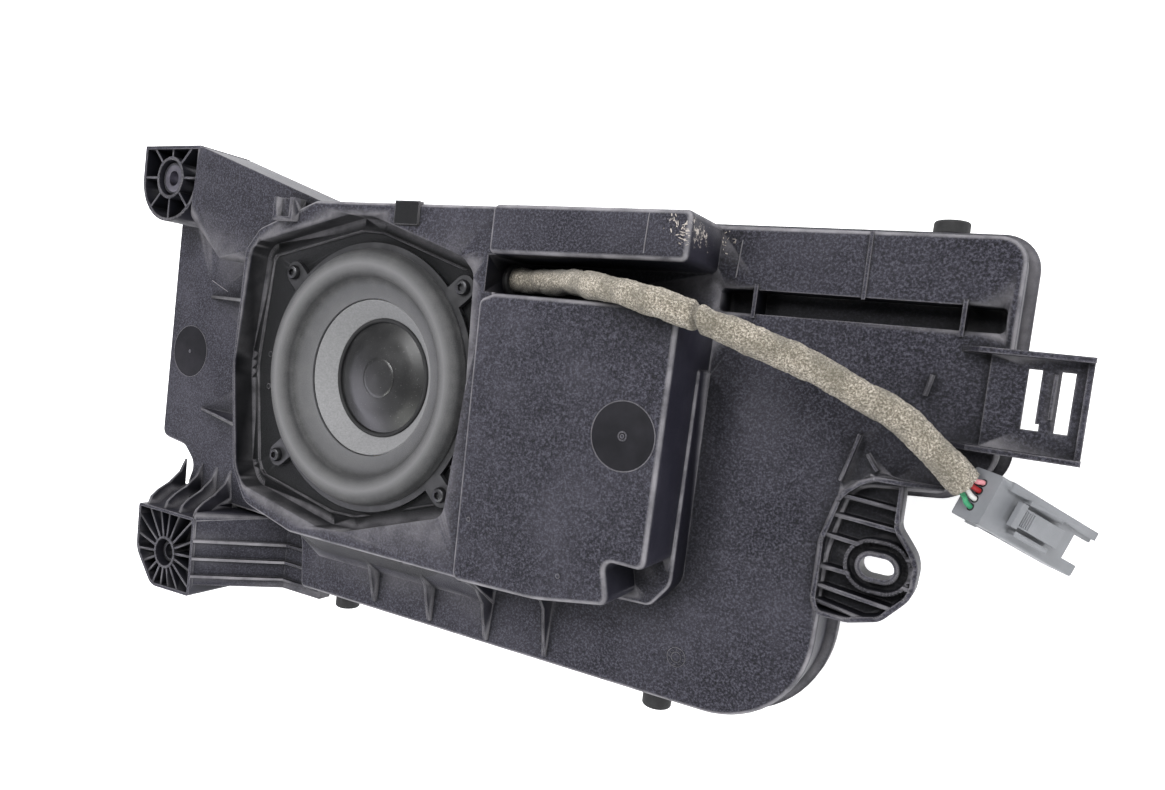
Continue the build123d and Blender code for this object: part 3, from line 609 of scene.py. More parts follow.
def makeCloth(name, dark, light, weave):
    material, tree, surface, place = startMaterial(name, Roughness=0.9)
    threads = addNode(tree, "ShaderNodeTexVoronoi", {"Scale": weave})
    tree.links.new(place, threads.inputs["Vector"])
    fuzz = noiseOn(tree, place, weave * 0.6, 5.0)
    shade = rampOn(tree, threads.outputs["Distance"], (0.1, 1.0), (0.7, 0.0))
    tree.links.new(mixColours(tree, shade, dark, light), surface.inputs["Base Color"])
    addBump(tree, surface, [(shade, 0.4, 0.0003), (fuzz, 0.4, 0.0004)])
    return material


def makeRubber(name, dark=(0.012, 0.012, 0.013), light=(0.03, 0.03, 0.032), rough=0.62):
    material, tree, surface, place = startMaterial(name)
    bloom = noiseOn(tree, place, 210.0, 6.0, 0.65)
    colour = mixColours(tree, rampOn(tree, bloom, (0.42, 0.0), (0.75, 1.0)), dark, light)
    tree.links.new(colour, surface.inputs["Base Color"])
    roughness = calc(tree, "ADD", rough, calc(tree, "MULTIPLY", bloom, 0.25), True)
    tree.links.new(roughness, surface.inputs["Roughness"])
    skin = noiseOn(tree, place, 1600.0, 3.0)
    addBump(tree, surface, [(skin, 0.3, 0.0002)], 0.0004)
    return material


def makeWinding():
    # turns of enamelled wire stacked along the former
    material, tree, surface, place = startMaterial("coilCopper", Metallic=0.9, Roughness=0.3)
    turns = addNode(
        tree, "ShaderNodeTexWave", {"Scale": 900.0, "Distortion": 0.4}, bands_direction="Z"
    )
    tree.links.new(place, turns.inputs["Vector"])
    colour = mixColours(tree, turns.outputs["Fac"], (0.30, 0.11, 0.04), (0.75, 0.36, 0.18))
    tree.links.new(colour, surface.inputs["Base Color"])
    addBump(tree, surface, [(turns.outputs["Fac"], 0.6, 0.0002)])
    return material


finish = {
    "shell": makeShellPlastic("shellPlastic", shellPlastic),
    "tray": makeShellPlastic("trayPlastic", shellPlastic, front=False),
    "plugGrey": makeMouldedPlastic(
        "plugGrey", (0.155, 0.161, 0.174), (0.190, 0.197, 0.212), 0.42, 1500.0, 0.00012
    ),
    "lockGrey": makeMouldedPlastic(
        "lockGrey", (0.22, 0.228, 0.24), (0.27, 0.28, 0.292), 0.40, 1500.0
    ),
    "edge": makeMouldedPlastic("edgePlastic", (0.10, 0.097, 0.107), (0.22, 0.21, 0.23), 0.4),
    "burr": makeMouldedPlastic("burrPlastic", (0.22, 0.19, 0.17), (0.55, 0.50, 0.46), 0.6),
    "disc": makeMouldedPlastic(
        "discPlastic", (0.004, 0.004, 0.006), (0.010, 0.0095, 0.013), 0.5, gloss=0.16
    ),
    # near black: the cap's glue, and painted shade at the wire entries
    "glueAndShadeBlack": makeMouldedPlastic("glueAndEntryShadeBlack", (0.004, 0.004, 0.005), (0.012, 0.012, 0.013), 0.7),
    "board": makeMouldedPlastic(
        "stripBoard", (0.10, 0.05, 0.025), (0.2, 0.11, 0.05), 0.5, 700.0, 0.0002
    ),
    "basket": makeMetal(
        "basketCoat", (0.015, 0.015, 0.017), (0.03, 0.03, 0.033), 0.32, 600.0, metallic=0.2
    ),
    "screw": makeMetal(
        "blackScrew", (0.03, 0.03, 0.033), (0.08, 0.08, 0.085), 0.28, 1200.0, metallic=0.85
    ),
    "steel": makeMetal(
        "sleeveSteel", (0.20, 0.19, 0.23), (0.36, 0.35, 0.40), 0.25, 500.0, (1, 1, 14)
    ),
    "plate": makeMetal(
        "plateSteel", (0.40, 0.40, 0.41), (0.55, 0.55, 0.56), 0.3, 700.0, (1, 6, 1)
    ),
    "foil": makeMetal("formerFoil", (0.6, 0.6, 0.61), (0.8, 0.8, 0.8), 0.2, 900.0, (1, 1, 10)),
    "ferrite": makeMetal(
        "magnetFerrite", (0.03, 0.03, 0.032), (0.07, 0.07, 0.075), 0.55, 900.0, metallic=0.3
    ),
    "brass": makeMetal("terminalBrass", (0.55, 0.50, 0.38), (0.75, 0.70, 0.55), 0.25, 900.0),
    "tinsel": makeMetal(
        "tinselCopper", (0.45, 0.24, 0.12), (0.70, 0.42, 0.25), 0.3, 1800.0, (1, 1, 4)
    ),
    "coil": makeWinding(),
    "foam": makeFoam(),
    "cone": makeCone(),
    "cap": makeDustCap(),
    "felt": makeFelt(),
    "spider": makeCloth("spiderCloth", (0.30, 0.20, 0.08), (0.62, 0.46, 0.22), 1400.0),
    "wadding": makeCloth("waddingFibre", (0.5, 0.5, 0.48), (0.85, 0.85, 0.83), 260.0),
    "rubber": makeRubber("bufferRubber"),
    "grommet": makeRubber("grommetRubber", rough=0.5),
    "gasket": makeRubber("gasketFoam", (0.02, 0.02, 0.021), (0.045, 0.045, 0.047), 0.8),
    "sealant": makeRubber("sealant", rough=0.45),
}
wireColours = {
    "green": ((0.02, 0.19, 0.08), (0.04, 0.27, 0.13)),
    "white": ((0.62, 0.62, 0.60), (0.75, 0.75, 0.73)),
    "red": ((0.30, 0.012, 0.014), (0.42, 0.02, 0.02)),
    "pink": ((0.62, 0.24, 0.27), (0.72, 0.32, 0.34)),
}
for colourName, (dark, light) in wireColours.items():
    label = "wire" + colourName.capitalize()
    finish[colourName] = makeMouldedPlastic(label, dark, light, 0.35, edge=0)
print("materials made:", len(finish))


# geometry-node tools

def startTree(name, *inputs):
    # inputs are (name, socket type, default)
    tree = bpy.data.node_groups.new(name, "GeometryNodeTree")
    tree.interface.new_socket("Geometry", in_out="INPUT", socket_type="NodeSocketGeometry")
    tree.interface.new_socket("Geometry", in_out="OUTPUT", socket_type="NodeSocketGeometry")
    for label, kind, default in inputs:
        socket = tree.interface.new_socket(label, in_out="INPUT", socket_type=kind)
        if default is not None:
            socket.default_value = default
    return tree, tree.nodes.new("NodeGroupInput"), tree.nodes.new("NodeGroupOutput")


def setInputs(modifier, **values):
    for item in modifier.node_group.interface.items_tree:
        if item.item_type == "SOCKET" and item.in_out == "INPUT" and item.name in values:
            modifier[item.identifier] = values[item.name]


def bakedMesh(source, name):
    # the modifier's result as a plain mesh object; the source goes away
    mesh = evaluatedMesh(source)
    materials = [material for material in mesh.materials if material]
    bpy.data.objects.remove(source)
    piece = bpy.data.objects.new(name, mesh)
    scene.collection.objects.link(piece)
    setMaterial(piece, *materials)
    return piece


def makeRepeatTree():
    # sets one shape at each point of the carrier, turned and sized by its inputs
    tree, given, result = startTree(
        "repeatOnPoints",
        ("shape", "NodeSocketObject", None),
        ("size", "NodeSocketFloat", 1.0),
        ("turnSpread", "NodeSocketFloat", 0.0),
        ("seed", "NodeSocketInt", 3),
        ("finish", "NodeSocketMaterial", None),
    )
    link = tree.links.new
    shape = addNode(tree, "GeometryNodeObjectInfo", transform_space="ORIGINAL")
    heading = addNode(tree, "GeometryNodeInputNamedAttribute", data_type="FLOAT")
    heading.inputs["Name"].default_value = "heading"
    spread = addNode(tree, "FunctionNodeRandomValue", data_type="FLOAT")
    turn = addNode(tree, "ShaderNodeCombineXYZ")
    place = addNode(tree, "GeometryNodeInstanceOnPoints")
    real = addNode(tree, "GeometryNodeRealizeInstances")
    paint = addNode(tree, "GeometryNodeSetMaterial")
    link(given.outputs["shape"], shape.inputs["Object"])
    link(calc(tree, "MULTIPLY", given.outputs["turnSpread"], -1.0), spread.inputs[2])
    link(given.outputs["turnSpread"], spread.inputs[3])
    link(given.outputs["seed"], spread.inputs["Seed"])
    total = calc(tree, "ADD", spread.outputs[1], heading.outputs["Attribute"])
    link(total, turn.inputs["Z"])
    link(given.outputs["Geometry"], place.inputs["Points"])
    link(shape.outputs["Geometry"], place.inputs["Instance"])
    link(turn.outputs[0], place.inputs["Rotation"])
    link(given.outputs["size"], place.inputs["Scale"])
    link(place.outputs[0], real.inputs[0])
    link(real.outputs[0], paint.inputs["Geometry"])
    link(given.outputs["finish"], paint.inputs["Material"])
    link(paint.outputs[0], result.inputs[0])
    return tree


repeatTree = makeRepeatTree()


def repeatShape(name, shape, places, material, turnSpread=0.0, seed=3):
    # places are (x, y, z, heading)
    mesh = bpy.data.meshes.new(name + "_places")
    mesh.from_pydata([place[:3] for place in places], [], [])
    heading = mesh.attributes.new("heading", "FLOAT", "POINT")
    heading.data.foreach_set("value", [place[3] for place in places])
    carrier = bpy.data.objects.new(name + "_carrier", mesh)
    scene.collection.objects.link(carrier)
    modifier = carrier.modifiers.new("repeat", "NODES")
    modifier.node_group = repeatTree
    setInputs(modifier, shape=shape, turnSpread=turnSpread, seed=seed, finish=material)
    piece = bakedMesh(carrier, name)
    bpy.data.objects.remove(shape)
    shadeByAngle(piece, 35.0)
    return piece


def ridingPiece(piece, body, slotName, *replaced):
    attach(piece, body)
    if replaced:
        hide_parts(*replaced)
    return piece


# harness: a smooth line first, then the felt around it

def makeLine(name, points):
    data = bpy.data.curves.new(name, "CURVE")
    data.dimensions = "3D"
    data.resolution_u = 24
    spline = data.splines.new("NURBS")
    spline.points.add(len(points) - 1)
    for control, point in zip(spline.points, points):
        control.co = (*point, 1)
    spline.order_u = 3
    spline.use_endpoint_u = True
    line = bpy.data.objects.new(name, data)
    scene.collection.objects.link(line)
    return line


def linePoints(line):
    mesh = evaluatedMesh(line)
    points = [vertex.co.copy() for vertex in mesh.vertices]
    bpy.data.meshes.remove(mesh)
    return points


def makeSleeveTree():
    # matted tape round a line: lumps, fluff and a lap where one length of tape ends
    tree, given, result = startTree(
        "feltSleeve",
        ("rings", "NodeSocketInt", 300),
        ("sides", "NodeSocketInt", 32),
        ("radius", "NodeSocketFloat", 0.0055),
        ("lumpDepth", "NodeSocketFloat", 0.0004),
        ("fluffDepth", "NodeSocketFloat", 0.0002),
        ("lapPlace", "NodeSocketVector", None),
        ("lapDepth", "NodeSocketFloat", 0.0005),
        ("seed", "NodeSocketFloat", 4.0),
        ("finish", "NodeSocketMaterial", None),
    )
    link = tree.links.new
    spread = addNode(tree, "GeometryNodeResampleCurve")
    circle = addNode(tree, "GeometryNodeCurvePrimitiveCircle")
    skin = addNode(tree, "GeometryNodeCurveToMesh", {"Fill Caps": True})
    link(given.outputs["Geometry"], spread.inputs["Curve"])
    link(given.outputs["rings"], spread.inputs["Count"])
    link(given.outputs["sides"], circle.inputs["Resolution"])
    link(given.outputs["radius"], circle.inputs["Radius"])
    link(spread.outputs[0], skin.inputs["Curve"])
    link(circle.outputs[0], skin.inputs["Profile Curve"])
    position = addNode(tree, "GeometryNodeInputPosition")
    normal = addNode(tree, "GeometryNodeInputNormal")

    def depth(scale, amount):
        sizes = {"Scale": scale, "Detail": 3.0}
        noise = addNode(tree, "ShaderNodeTexNoise", sizes, noise_dimensions="4D")
        link(position.outputs[0], noise.inputs["Vector"])
        link(given.outputs["seed"], noise.inputs["W"])
        return calc(tree, "MULTIPLY", calc(tree, "SUBTRACT", noise.outputs["Fac"], 0.5), amount)

    lumps = depth(harness["lumpScale"], given.outputs["lumpDepth"])
    fluff = depth(harness["fluffScale"], given.outputs["fluffDepth"])
    # the lap: a narrow groove square to the line
    reach = addNode(tree, "ShaderNodeVectorMath", operation="SUBTRACT")
    split = addNode(tree, "ShaderNodeSeparateXYZ")
    near = addNode(
        tree, "ShaderNodeMapRange",
        {"From Min": 0.0, "From Max": 0.0015, "To Min": -1.0, "To Max": 0.0},
    )
    link(position.outputs[0], reach.inputs[0])
    link(given.outputs["lapPlace"], reach.inputs[1])
    link(reach.outputs[0], split.inputs[0])
    link(calc(tree, "ABSOLUTE", split.outputs["X"]), near.inputs["Value"])
    groove = calc(tree, "MULTIPLY", near.outputs[0], given.outputs["lapDepth"])
    total = calc(tree, "ADD", calc(tree, "ADD", lumps, fluff), groove)
    push = addNode(tree, "ShaderNodeVectorMath", operation="SCALE")
    move = addNode(tree, "GeometryNodeSetPosition")
    smooth = addNode(tree, "GeometryNodeSetShadeSmooth")
    real = addNode(tree, "GeometryNodeRealizeInstances")
    paint = addNode(tree, "GeometryNodeSetMaterial")
    link(normal.outputs[0], push.inputs[0])
    link(total, push.inputs["Scale"])
    link(skin.outputs[0], move.inputs["Geometry"])
    link(push.outputs[0], move.inputs["Offset"])
    link(move.outputs[0], smooth.inputs["Geometry"])
    link(smooth.outputs[0], real.inputs[0])
    link(real.outputs[0], paint.inputs["Geometry"])
    link(given.outputs["finish"], paint.inputs["Material"])
    link(paint.outputs[0], result.inputs[0])
    return tree


def makeHarness():
    line = makeLine("harnessLine", metres(harness["route"]))
    points = linePoints(line)
    modifier = line.modifiers.new("felt", "NODES")
    modifier.node_group = makeSleeveTree()
    setInputs(
        modifier, rings=harness["rings"], sides=harness["sides"], radius=harness["diameter"] / 2,
        lumpDepth=harness["lumpDepth"] * 2, fluffDepth=harness["fluffDepth"] * 2,
        lapPlace=harness["lapAt"], lapDepth=harness["lapDepth"], finish=finish["felt"],
    )
    piece = bakedMesh(line, "harness_felt")
    return piece, points


harnessPiece, harnessPoints = makeHarness()
ridingPiece(harnessPiece, "enclosure", "harness_felt", "harness_sleeve")
print("harness made:", len(harnessPoints), "points on its line")


def makeWire(name, place, material):
    # short insulated wire from the sleeve's end into the back of the plug
    end = metres(harness["route"][-2:])
    along = (end[1] - end[0]).normalized()
    start = end[1] + plugAcross * (place * plug["wireSpread"])
    start -= along * (start - end[1]).dot(along)
    inside = start - along * 0.002
    entry = onPlug(plug["wireEntry"], place * plug["wirePitch"] * 1000, 0)
    gap = (entry - start).length
    points = [
        inside, start, start + along * gap * 0.35, entry - plugAlong * gap * 0.4, entry,
    ]
    line = makeLine(name + "_line", points)
    line.data.bevel_depth = plug["wireRadius"]
    line.data.bevel_resolution = 6
    line.data.use_fill_caps = True
    mesh = evaluatedMesh(line)
    bpy.data.objects.remove(line)
    piece = bpy.data.objects.new(name, mesh)
    scene.collection.objects.link(piece)
    shadeByAngle(piece, 50)
    setMaterial(piece, finish[material])
    return piece


wirePlaces = (-1.5, -0.5, 0.5, 1.5)  # in pitches from the plug's middle
for wireName, place in zip(wireColours, wirePlaces):
    wire = makeWire("wire_" + wireName, place, wireName)
    ridingPiece(wire, "enclosure", "wire_insulation", "harness_wires")


# pieces that keep the frame's shape, with joined faces and their own finish

skins = {
    "front_shell": ("shell", "enclosure"),
    "rear_shell": ("tray", "enclosure"),
    "shell_seal": ("sealant", "enclosure"),
    "rubber_buffers": ("rubber", "enclosure"),
    "upper_boss_sleeve": ("steel", "enclosure"),
    "woofer_basket": ("basket", "enclosure"),
    "basket_gasket": ("gasket", "enclosure"),
    "surround": ("foam", "enclosure"),
    "spider": ("spider", "enclosure"),
    "top_plate": ("plate", "enclosure"),
    "ring_magnet": ("ferrite", "enclosure"),
    "pole_yoke": ("plate", "enclosure"),
    "terminal_strip": ("board", "enclosure"),
    "tinsel_leads": ("tinsel", "enclosure"),
    "inner_leads": ("red", "enclosure"),
    "cable_grommet": ("grommet", "enclosure"),
    "connector_housing": ("plugGrey", "enclosure"),
    "connector_terminals": ("brass", "enclosure"),
    "cone": ("cone", "moving_cone"),
    "dust_cap": ("cap", "moving_cone"),
    "voice_coil_former": ("foil", "moving_cone"),
    "voice_coil": ("coil", "moving_cone"),
    "connector_latch": ("plugGrey", "latch"),
    "connector_lock": ("lockGrey", "lock"),
}
for node, (material, body) in skins.items():
    smoothCopy(node, finish[material], body)


# screws, as turned pan heads with a hex socket

def makeScrewShape(name, headRadius, headHeight, socket):
    builder = bmesh.new()
    centre = (0, 0)
    sides = 36
    foot = -0.0006
    lip = headRadius * 0.86
    profile = [
        (headRadius, foot), (headRadius, 0.0), (headRadius, headHeight * 0.55),
        (lip, headHeight * 0.9), (lip * 0.82, headHeight),
    ]
    rings = latheMesh(builder, profile, centre, sides)
    capRing(builder, rings[0], foot, centre, False)
    hexTop = []
    hexLow = []
    for index in range(sides):
        angle = 2 * math.pi * index / sides
        wedge = (angle % (math.pi / 3)) - math.pi / 6
        reach = socket * math.cos(math.pi / 6) / math.cos(wedge)
        spot = (reach * math.cos(angle), reach * math.sin(angle))
        hexTop.append(builder.verts.new((*spot, headHeight)))
        hexLow.append(builder.verts.new((*spot, headHeight * 0.35)))
    joinRings(builder, rings[-1], hexTop)
    joinRings(builder, hexTop, hexLow)
    capRing(builder, hexLow, headHeight * 0.3, centre, True)
    outwards(builder)
    return finishMesh(name, builder)


wooferScrews = {
    "reach": 0.0755,
    "angles": (41.0, 139.0, 221.0, 319.0),
    "head": 0.0038,
    "height": 0.0026,
    "socket": 0.0019,
}
shellScrews = {"head": 0.0036, "height": 0.0024, "socket": 0.0018, "depth": 0.0039, "apart": 0.012}
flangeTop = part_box("woofer_basket")[1].z


def makeWooferScrews():
    head, height, socket = (wooferScrews[part] for part in ("head", "height", "socket"))
    shape = makeScrewShape("wooferScrewShape", head, height, socket)
    places = []
    for angle in wooferScrews["angles"]:
        turn = math.radians(angle)
        x = woofer["centre"][0] + wooferScrews["reach"] * math.cos(turn)
        y = woofer["centre"][1] + wooferScrews["reach"] * math.sin(turn)
        places.append((x, y, flangeTop + 0.0001, turn))
    piece = repeatShape("woofer_screw_heads", shape, places, finish["screw"], 0.6, seed=5)
    return ridingPiece(piece, "enclosure", "woofer_screw", "woofer_screws")


def makeShellScrews():
    # heads sit in the tray's counterbores and face down
    head, height, socket = (shellScrews[part] for part in ("head", "height", "socket"))
    shape = makeScrewShape("shellScrewShape", head, height, socket)
    shape.data.transform(Matrix.Rotation(math.pi, 4, "X"))
    # points of the ten screws, sorted by the first point met on each
    screws = []
    for vertex in nodes["shell_screws"].data.vertices:
        spot = vertex.co.xy
        for screw in screws:
            gap = screw[0] - spot
            if abs(gap.x) < shellScrews["apart"] and abs(gap.y) < shellScrews["apart"]:
                screw.append(spot)
                break
        else:
            screws.append([spot])
    places = []
    for screw in screws:
        xs = [spot.x for spot in screw]
        ys = [spot.y for spot in screw]
        middle = ((min(xs) + max(xs)) / 2, (min(ys) + max(ys)) / 2)
        places.append((*middle, shellScrews["depth"], 0.0))
    piece = repeatShape("shell_screw_heads", shape, places, finish["screw"], 1.0, seed=8)
    return ridingPiece(piece, "enclosure", "black_screw", "shell_screws")


makeWooferScrews()
makeShellScrews()
print("screws made")


# moulding marks on the shell

marks = {
    "gate": (0.0986, 0.0102, 0.077, 0.0140),
    "flangeMark": (-0.2298, 0.0101, 0.037, 0.0160),
    "clock": (0.1182, -0.0857, 0.037, 0.00435),
    "ejectors": ((0.0289, -0.0382), (0.0771, -0.052)),
    "recessPips": ((-0.1307, 0.0183), (-0.1298, 0.0006)),
    "tick": ((0.0028, -0.00012, -0.0001), (0.0038, 0.00012, 0.00022)),
    "tickCount": 12,
}
sunk = 0.0002  # how far each mark's foot goes below the surface


def ringMark(builder, x, y, z, radius, width, height):
    profile = [
        (radius - width, z - sunk), (radius - width, z + height * 0.6),
        (radius - width / 2, z + height), (radius, z + height * 0.6), (radius, z - sunk),
    ]
    rings = latheMesh(builder, profile, (x, y))
    joinRings(builder, rings[-1], rings[0])


def discMark(builder, x, y, z, radius, height):
    rings = latheMesh(
        builder, [(radius, z - sunk), (radius, z + height * 0.6), (radius * 0.985, z + height)],
        (x, y),
    )
    capRing(builder, rings[0], z - sunk, (x, y), False)
    capRing(builder, rings[-1], z + height, (x, y), True)


def topOf(node):
    # height of a node's upper surface at a place
    builder = bmesh.new()
    builder.from_mesh(nodes[node].data)
    tree = BVHTree.FromBMesh(builder)
    builder.free()

    def height(x, y):
        return tree.ray_cast(Vector((x, y, 0.2)), Vector((0, 0, -1)))[0].z
    return height


shellTop = topOf("front_shell")


def ridgeInto(builder, start, end, width, height, steps=40):
    # a low line that follows the shell's surface from start to end
    way = (Vector(end) - Vector(start)).normalized()
    side = Vector((-way.y, way.x)) * width / 2
    rows = []
    for index in range(steps + 1):
        spot = Vector(start).lerp(Vector(end), index / steps)
        z = shellTop(*spot)
        taper = min(1.0, 6 * index / steps, 6 * (steps - index) / steps)
        crest = height * taper
        corners = ((side, -sunk), (side * 0.4, crest), (-side * 0.4, crest), (-side, -sunk))
        rows.append([builder.verts.new((*(spot + shift), z + lift)) for shift, lift in corners])
    for first, second in zip(rows, rows[1:]):
        joinRings(builder, first, second)
    builder.faces.new(rows[0])
    builder.faces.new(rows[-1])


seams = {
    "lines": [
        ((0.0955, 0.1000), (0.0950, 0.0835)), ((0.1235, 0.0960), (0.1225, 0.0800)),
        ((-0.2150, 0.0560), (-0.1990, 0.0500)),
    ],
    "width": 0.0007,
    "height": 0.00035,
    "chipCount": 40,
    "chipPlace": (0.1125, 0.0945),
    "chipSpread": 0.0075,
    "seed": 11,
}


def makeSeams():
    builder = bmesh.new()
    for start, end in seams["lines"]:
        ridgeInto(builder, start, end, seams["width"], seams["height"])
    outwards(builder)
    piece = finishMesh("mould_seams", builder, 60)
    setMaterial(piece, finish["edge"])
    return ridingPiece(piece, "enclosure", "shell_plastic")


def makeChips():
    # small raised burrs, all within the knocked corner
    builder = bmesh.new()
    chance = random.Random(seams["seed"])
    x, y = seams["chipPlace"]
    spread = seams["chipSpread"]
    for _ in range(seams["chipCount"]):
        start = Vector((chance.gauss(x, spread / 2), chance.gauss(y, spread / 3)))
        turn = chance.uniform(-0.5, 2.2)
        length = abs(chance.gauss(0.0, 0.0010)) + 0.0005
        end = start + Vector((math.cos(turn), math.sin(turn))) * length
        if abs(shellTop(*start) - shellTop(*end)) < 0.001:
            ridgeInto(builder, start, end, chance.uniform(0.0003, 0.0007), 0.00022, 4)
    outwards(builder)
    piece = finishMesh("corner_chips", builder, 60)
    setMaterial(piece, finish["burr"])
    return ridingPiece(piece, "enclosure", "shell_plastic")


def makeMouldDiscs():
    # smooth discs left by the mould, darker than the grain round them
    builder = bmesh.new()
    for name in ("gate", "flangeMark"):
        discMark(builder, *marks[name], 0.00012)
    outwards(builder)
    piece = finishMesh("mould_discs", builder)
    setMaterial(piece, finish["disc"])
    return ridingPiece(piece, "enclosure", "shell_plastic")


def makeMouldMarks():
    builder = bmesh.new()
    x, y, z, radius = marks["gate"]
    ringMark(builder, x, y, z, radius + 0.0004, 0.0005, 0.00022)
    ringMark(builder, x, y, z, 0.0021, 0.0007, 0.0006)
    discMark(builder, x, y, z, 0.0010, 0.0005)
    x, y, z, radius = marks["flangeMark"]
    ringMark(builder, x, y, z, radius + 0.0003, 0.0004, 0.0002)
    discMark(builder, x, y, z, 0.0010, 0.0004)
    x, y, z, radius = marks["clock"]
    ringMark(builder, x, y, z, radius, 0.0003, 0.00025)
    ringMark(builder, x, y, z, radius * 0.55, 0.0003, 0.00025)
    for spotX, spotY in marks["ejectors"]:
        discMark(builder, spotX, spotY, marks["gate"][2], 0.0011, 0.0005)
    for spotX, spotY in marks["recessPips"]:
        discMark(builder, spotX, spotY, shellPlastic["recessFloor"], 0.0016, 0.0012)
    outwards(builder)
    piece = finishMesh("mould_marks", builder)
    setMaterial(piece, finish["shell"])
    return ridingPiece(piece, "enclosure", "shell_plastic")


def makeClockTicks():
    # twelve short ticks round the date clock, with no figures
    builder = bmesh.new()
    boxInto(builder, *marks["tick"])
    outwards(builder)
    shape = finishMesh("tickShape", builder)
    spot, count = marks["clock"][:3], marks["tickCount"]
    places = [(*spot, 2 * math.pi * index / count) for index in range(count)]
    piece = repeatShape("date_clock_ticks", shape, places, finish["shell"])
    return ridingPiece(piece, "enclosure", "shell_plastic")


makeSeams()
makeChips()
makeMouldDiscs()
makeMouldMarks()
makeClockTicks()
print("moulding marks made")


# glued rim and raised centre disc on the dust cap

capTrim = {
    "rimRadius": 0.0310,
    "rimWidth": 0.0022,
    "rimHeight": 0.0012,
    "rimSteps": 12,
    "disc": 0.0105,
    "discLift": 0.00025,
}


def makeCapTrim():
    # a dark bead of glue round the cap, and a thin disc that follows its dome
    centre, lift = woofer["centre"], capTrim["discLift"]
    capTop, coneTop = topOf("dust_cap"), topOf("cone")
    builder = bmesh.new()
    outer, width, height = capTrim["rimRadius"], capTrim["rimWidth"], capTrim["rimHeight"]
    base = coneTop(centre[0] + outer + 0.0005, centre[1])
    bead = []
    for index in range(capTrim["rimSteps"] + 1):
        angle = math.pi * (1 - index / capTrim["rimSteps"])
        reach = outer - width / 2 - width / 2 * math.cos(angle)
        bead.append((reach, base - 0.0004 + height * math.sin(angle)))
    rings = latheMesh(builder, bead, centre)
    joinRings(builder, rings[-1], rings[0])
    outwards(builder)
    rim = finishMesh("cap_glue", builder, 50)
    setMaterial(rim, finish["glueAndShadeBlack"])
    ridingPiece(rim, "moving_cone", "cap_gloss")
    builder = bmesh.new()
    radius = capTrim["disc"]
    reaches = (1.0, 1.0, 0.985, 0.8, 0.6, 0.4, 0.2)
    lifts = (-lift, lift * 0.6, lift, lift, lift, lift, lift)
    profile = []
    for reach, rise in zip(reaches, lifts):
        profile.append((radius * reach, capTop(centre[0] + radius * reach, centre[1]) + rise))
    disc = latheMesh(builder, profile, centre)
    capRing(builder, disc[0], profile[0][1], centre, False)
    capRing(builder, disc[-1], capTop(*centre) + lift, centre, True)
    outwards(builder)
    piece = finishMesh("cap_disc", builder, 50)
    setMaterial(piece, finish["cap"])
    return ridingPiece(piece, "moving_cone", "cap_gloss")


makeCapTrim()
print("cap trim made")


# wadding: a soft, uneven pad inside the box

wadding = {"inset": 0.0012, "cuts": 20, "swell": 0.0008, "waves": (310, 270), "fill": 0.4}


def makeWadding():
    low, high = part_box("damping_wadding")
    builder = bmesh.new()
    inset = Vector((wadding["inset"],) * 3)
    boxInto(builder, low + inset, high - inset)
    bmesh.ops.subdivide_edges(
        builder, edges=builder.edges, cuts=wadding["cuts"], use_grid_fill=True
    )
    along, across = wadding["waves"]
    for vert in builder.verts:
        pull = wadding["swell"] * math.sin(vert.co.x * along) * math.sin(vert.co.y * across)
        vert.co.z += pull if vert.co.z > (low.z + high.z) / 2 else -pull * 0.4
    outwards(builder)
    piece = finishMesh("wadding_pad", builder, 60)
    soften = piece.modifiers.new("soften", "SMOOTH")
    soften.iterations = 3
    mesh = evaluatedMesh(piece)
    piece.modifiers.clear()
    piece.data = mesh
    setMaterial(piece, finish["wadding"])
    ridingPiece(piece, "enclosure", "wadding", "damping_wadding")


makeWadding()
print("wadding made")


# plug: near-black discs painted as the shade of the wire entries, and grip ridges on the latch

plugTrim = {
    "entryRadius": 0.00145,
    "entryThick": 0.00012,
    "ridges": 5,
    "ridgePitch": 0.0011,
    "ridgeFirst": 0.0130,
    "ridgeHalf": 0.0030,
    "ridgeTall": 0.00035,
    "ridgeWide": 0.0005,
    "ridgeSunk": 0.0001,
    "ridgeRound": 0.00012,
    "latchTop": 0.0099,
}


def turnedToPlug(builder):
    for vert in builder.verts:
        vert.co = onPlug(*(vert.co * 1000))


def makeWireEntries():
    # painted shade: a near-black disc round each wire where it enters the plug
    builder = bmesh.new()
    radius, thick = plugTrim["entryRadius"], plugTrim["entryThick"]
    for place in wirePlaces:
        made = bmesh.ops.create_cone(
            builder, cap_ends=True, segments=32, radius1=radius, radius2=radius, depth=thick * 2,
        )
        turn = Matrix.Rotation(math.pi / 2, 4, "Y")
        for vert in made["verts"]:
            vert.co = turn @ vert.co + Vector((0, place * plug["wirePitch"], 0))
    outwards(builder)
    turnedToPlug(builder)
    piece = finishMesh("wire_entries", builder)
    setMaterial(piece, finish["glueAndShadeBlack"])
    return ridingPiece(piece, "enclosure", "plug_grey")


def makeGripRidges():
    builder = bmesh.new()
    half, top, tall = plugTrim["ridgeHalf"], plugTrim["latchTop"], plugTrim["ridgeTall"]
    for index in range(plugTrim["ridges"]):
        x = plugTrim["ridgeFirst"] + index * plugTrim["ridgePitch"]
        low = (x, -half, top - plugTrim["ridgeSunk"])
        boxInto(builder, low, (x + plugTrim["ridgeWide"], half, top + tall))
    outwards(builder)
    turnedToPlug(builder)
    piece = finishMesh("latch_ridges", builder)
    rounded = piece.modifiers.new("rounded", "BEVEL")
    rounded.width = plugTrim["ridgeRound"]
    rounded.segments = 2
    setMaterial(piece, finish["plugGrey"])
    return ridingPiece(piece, "latch", "plug_grey")


wireEntries = makeWireEntries()
gripRidges = makeGripRidges()
print("plug details made")


# floor and light

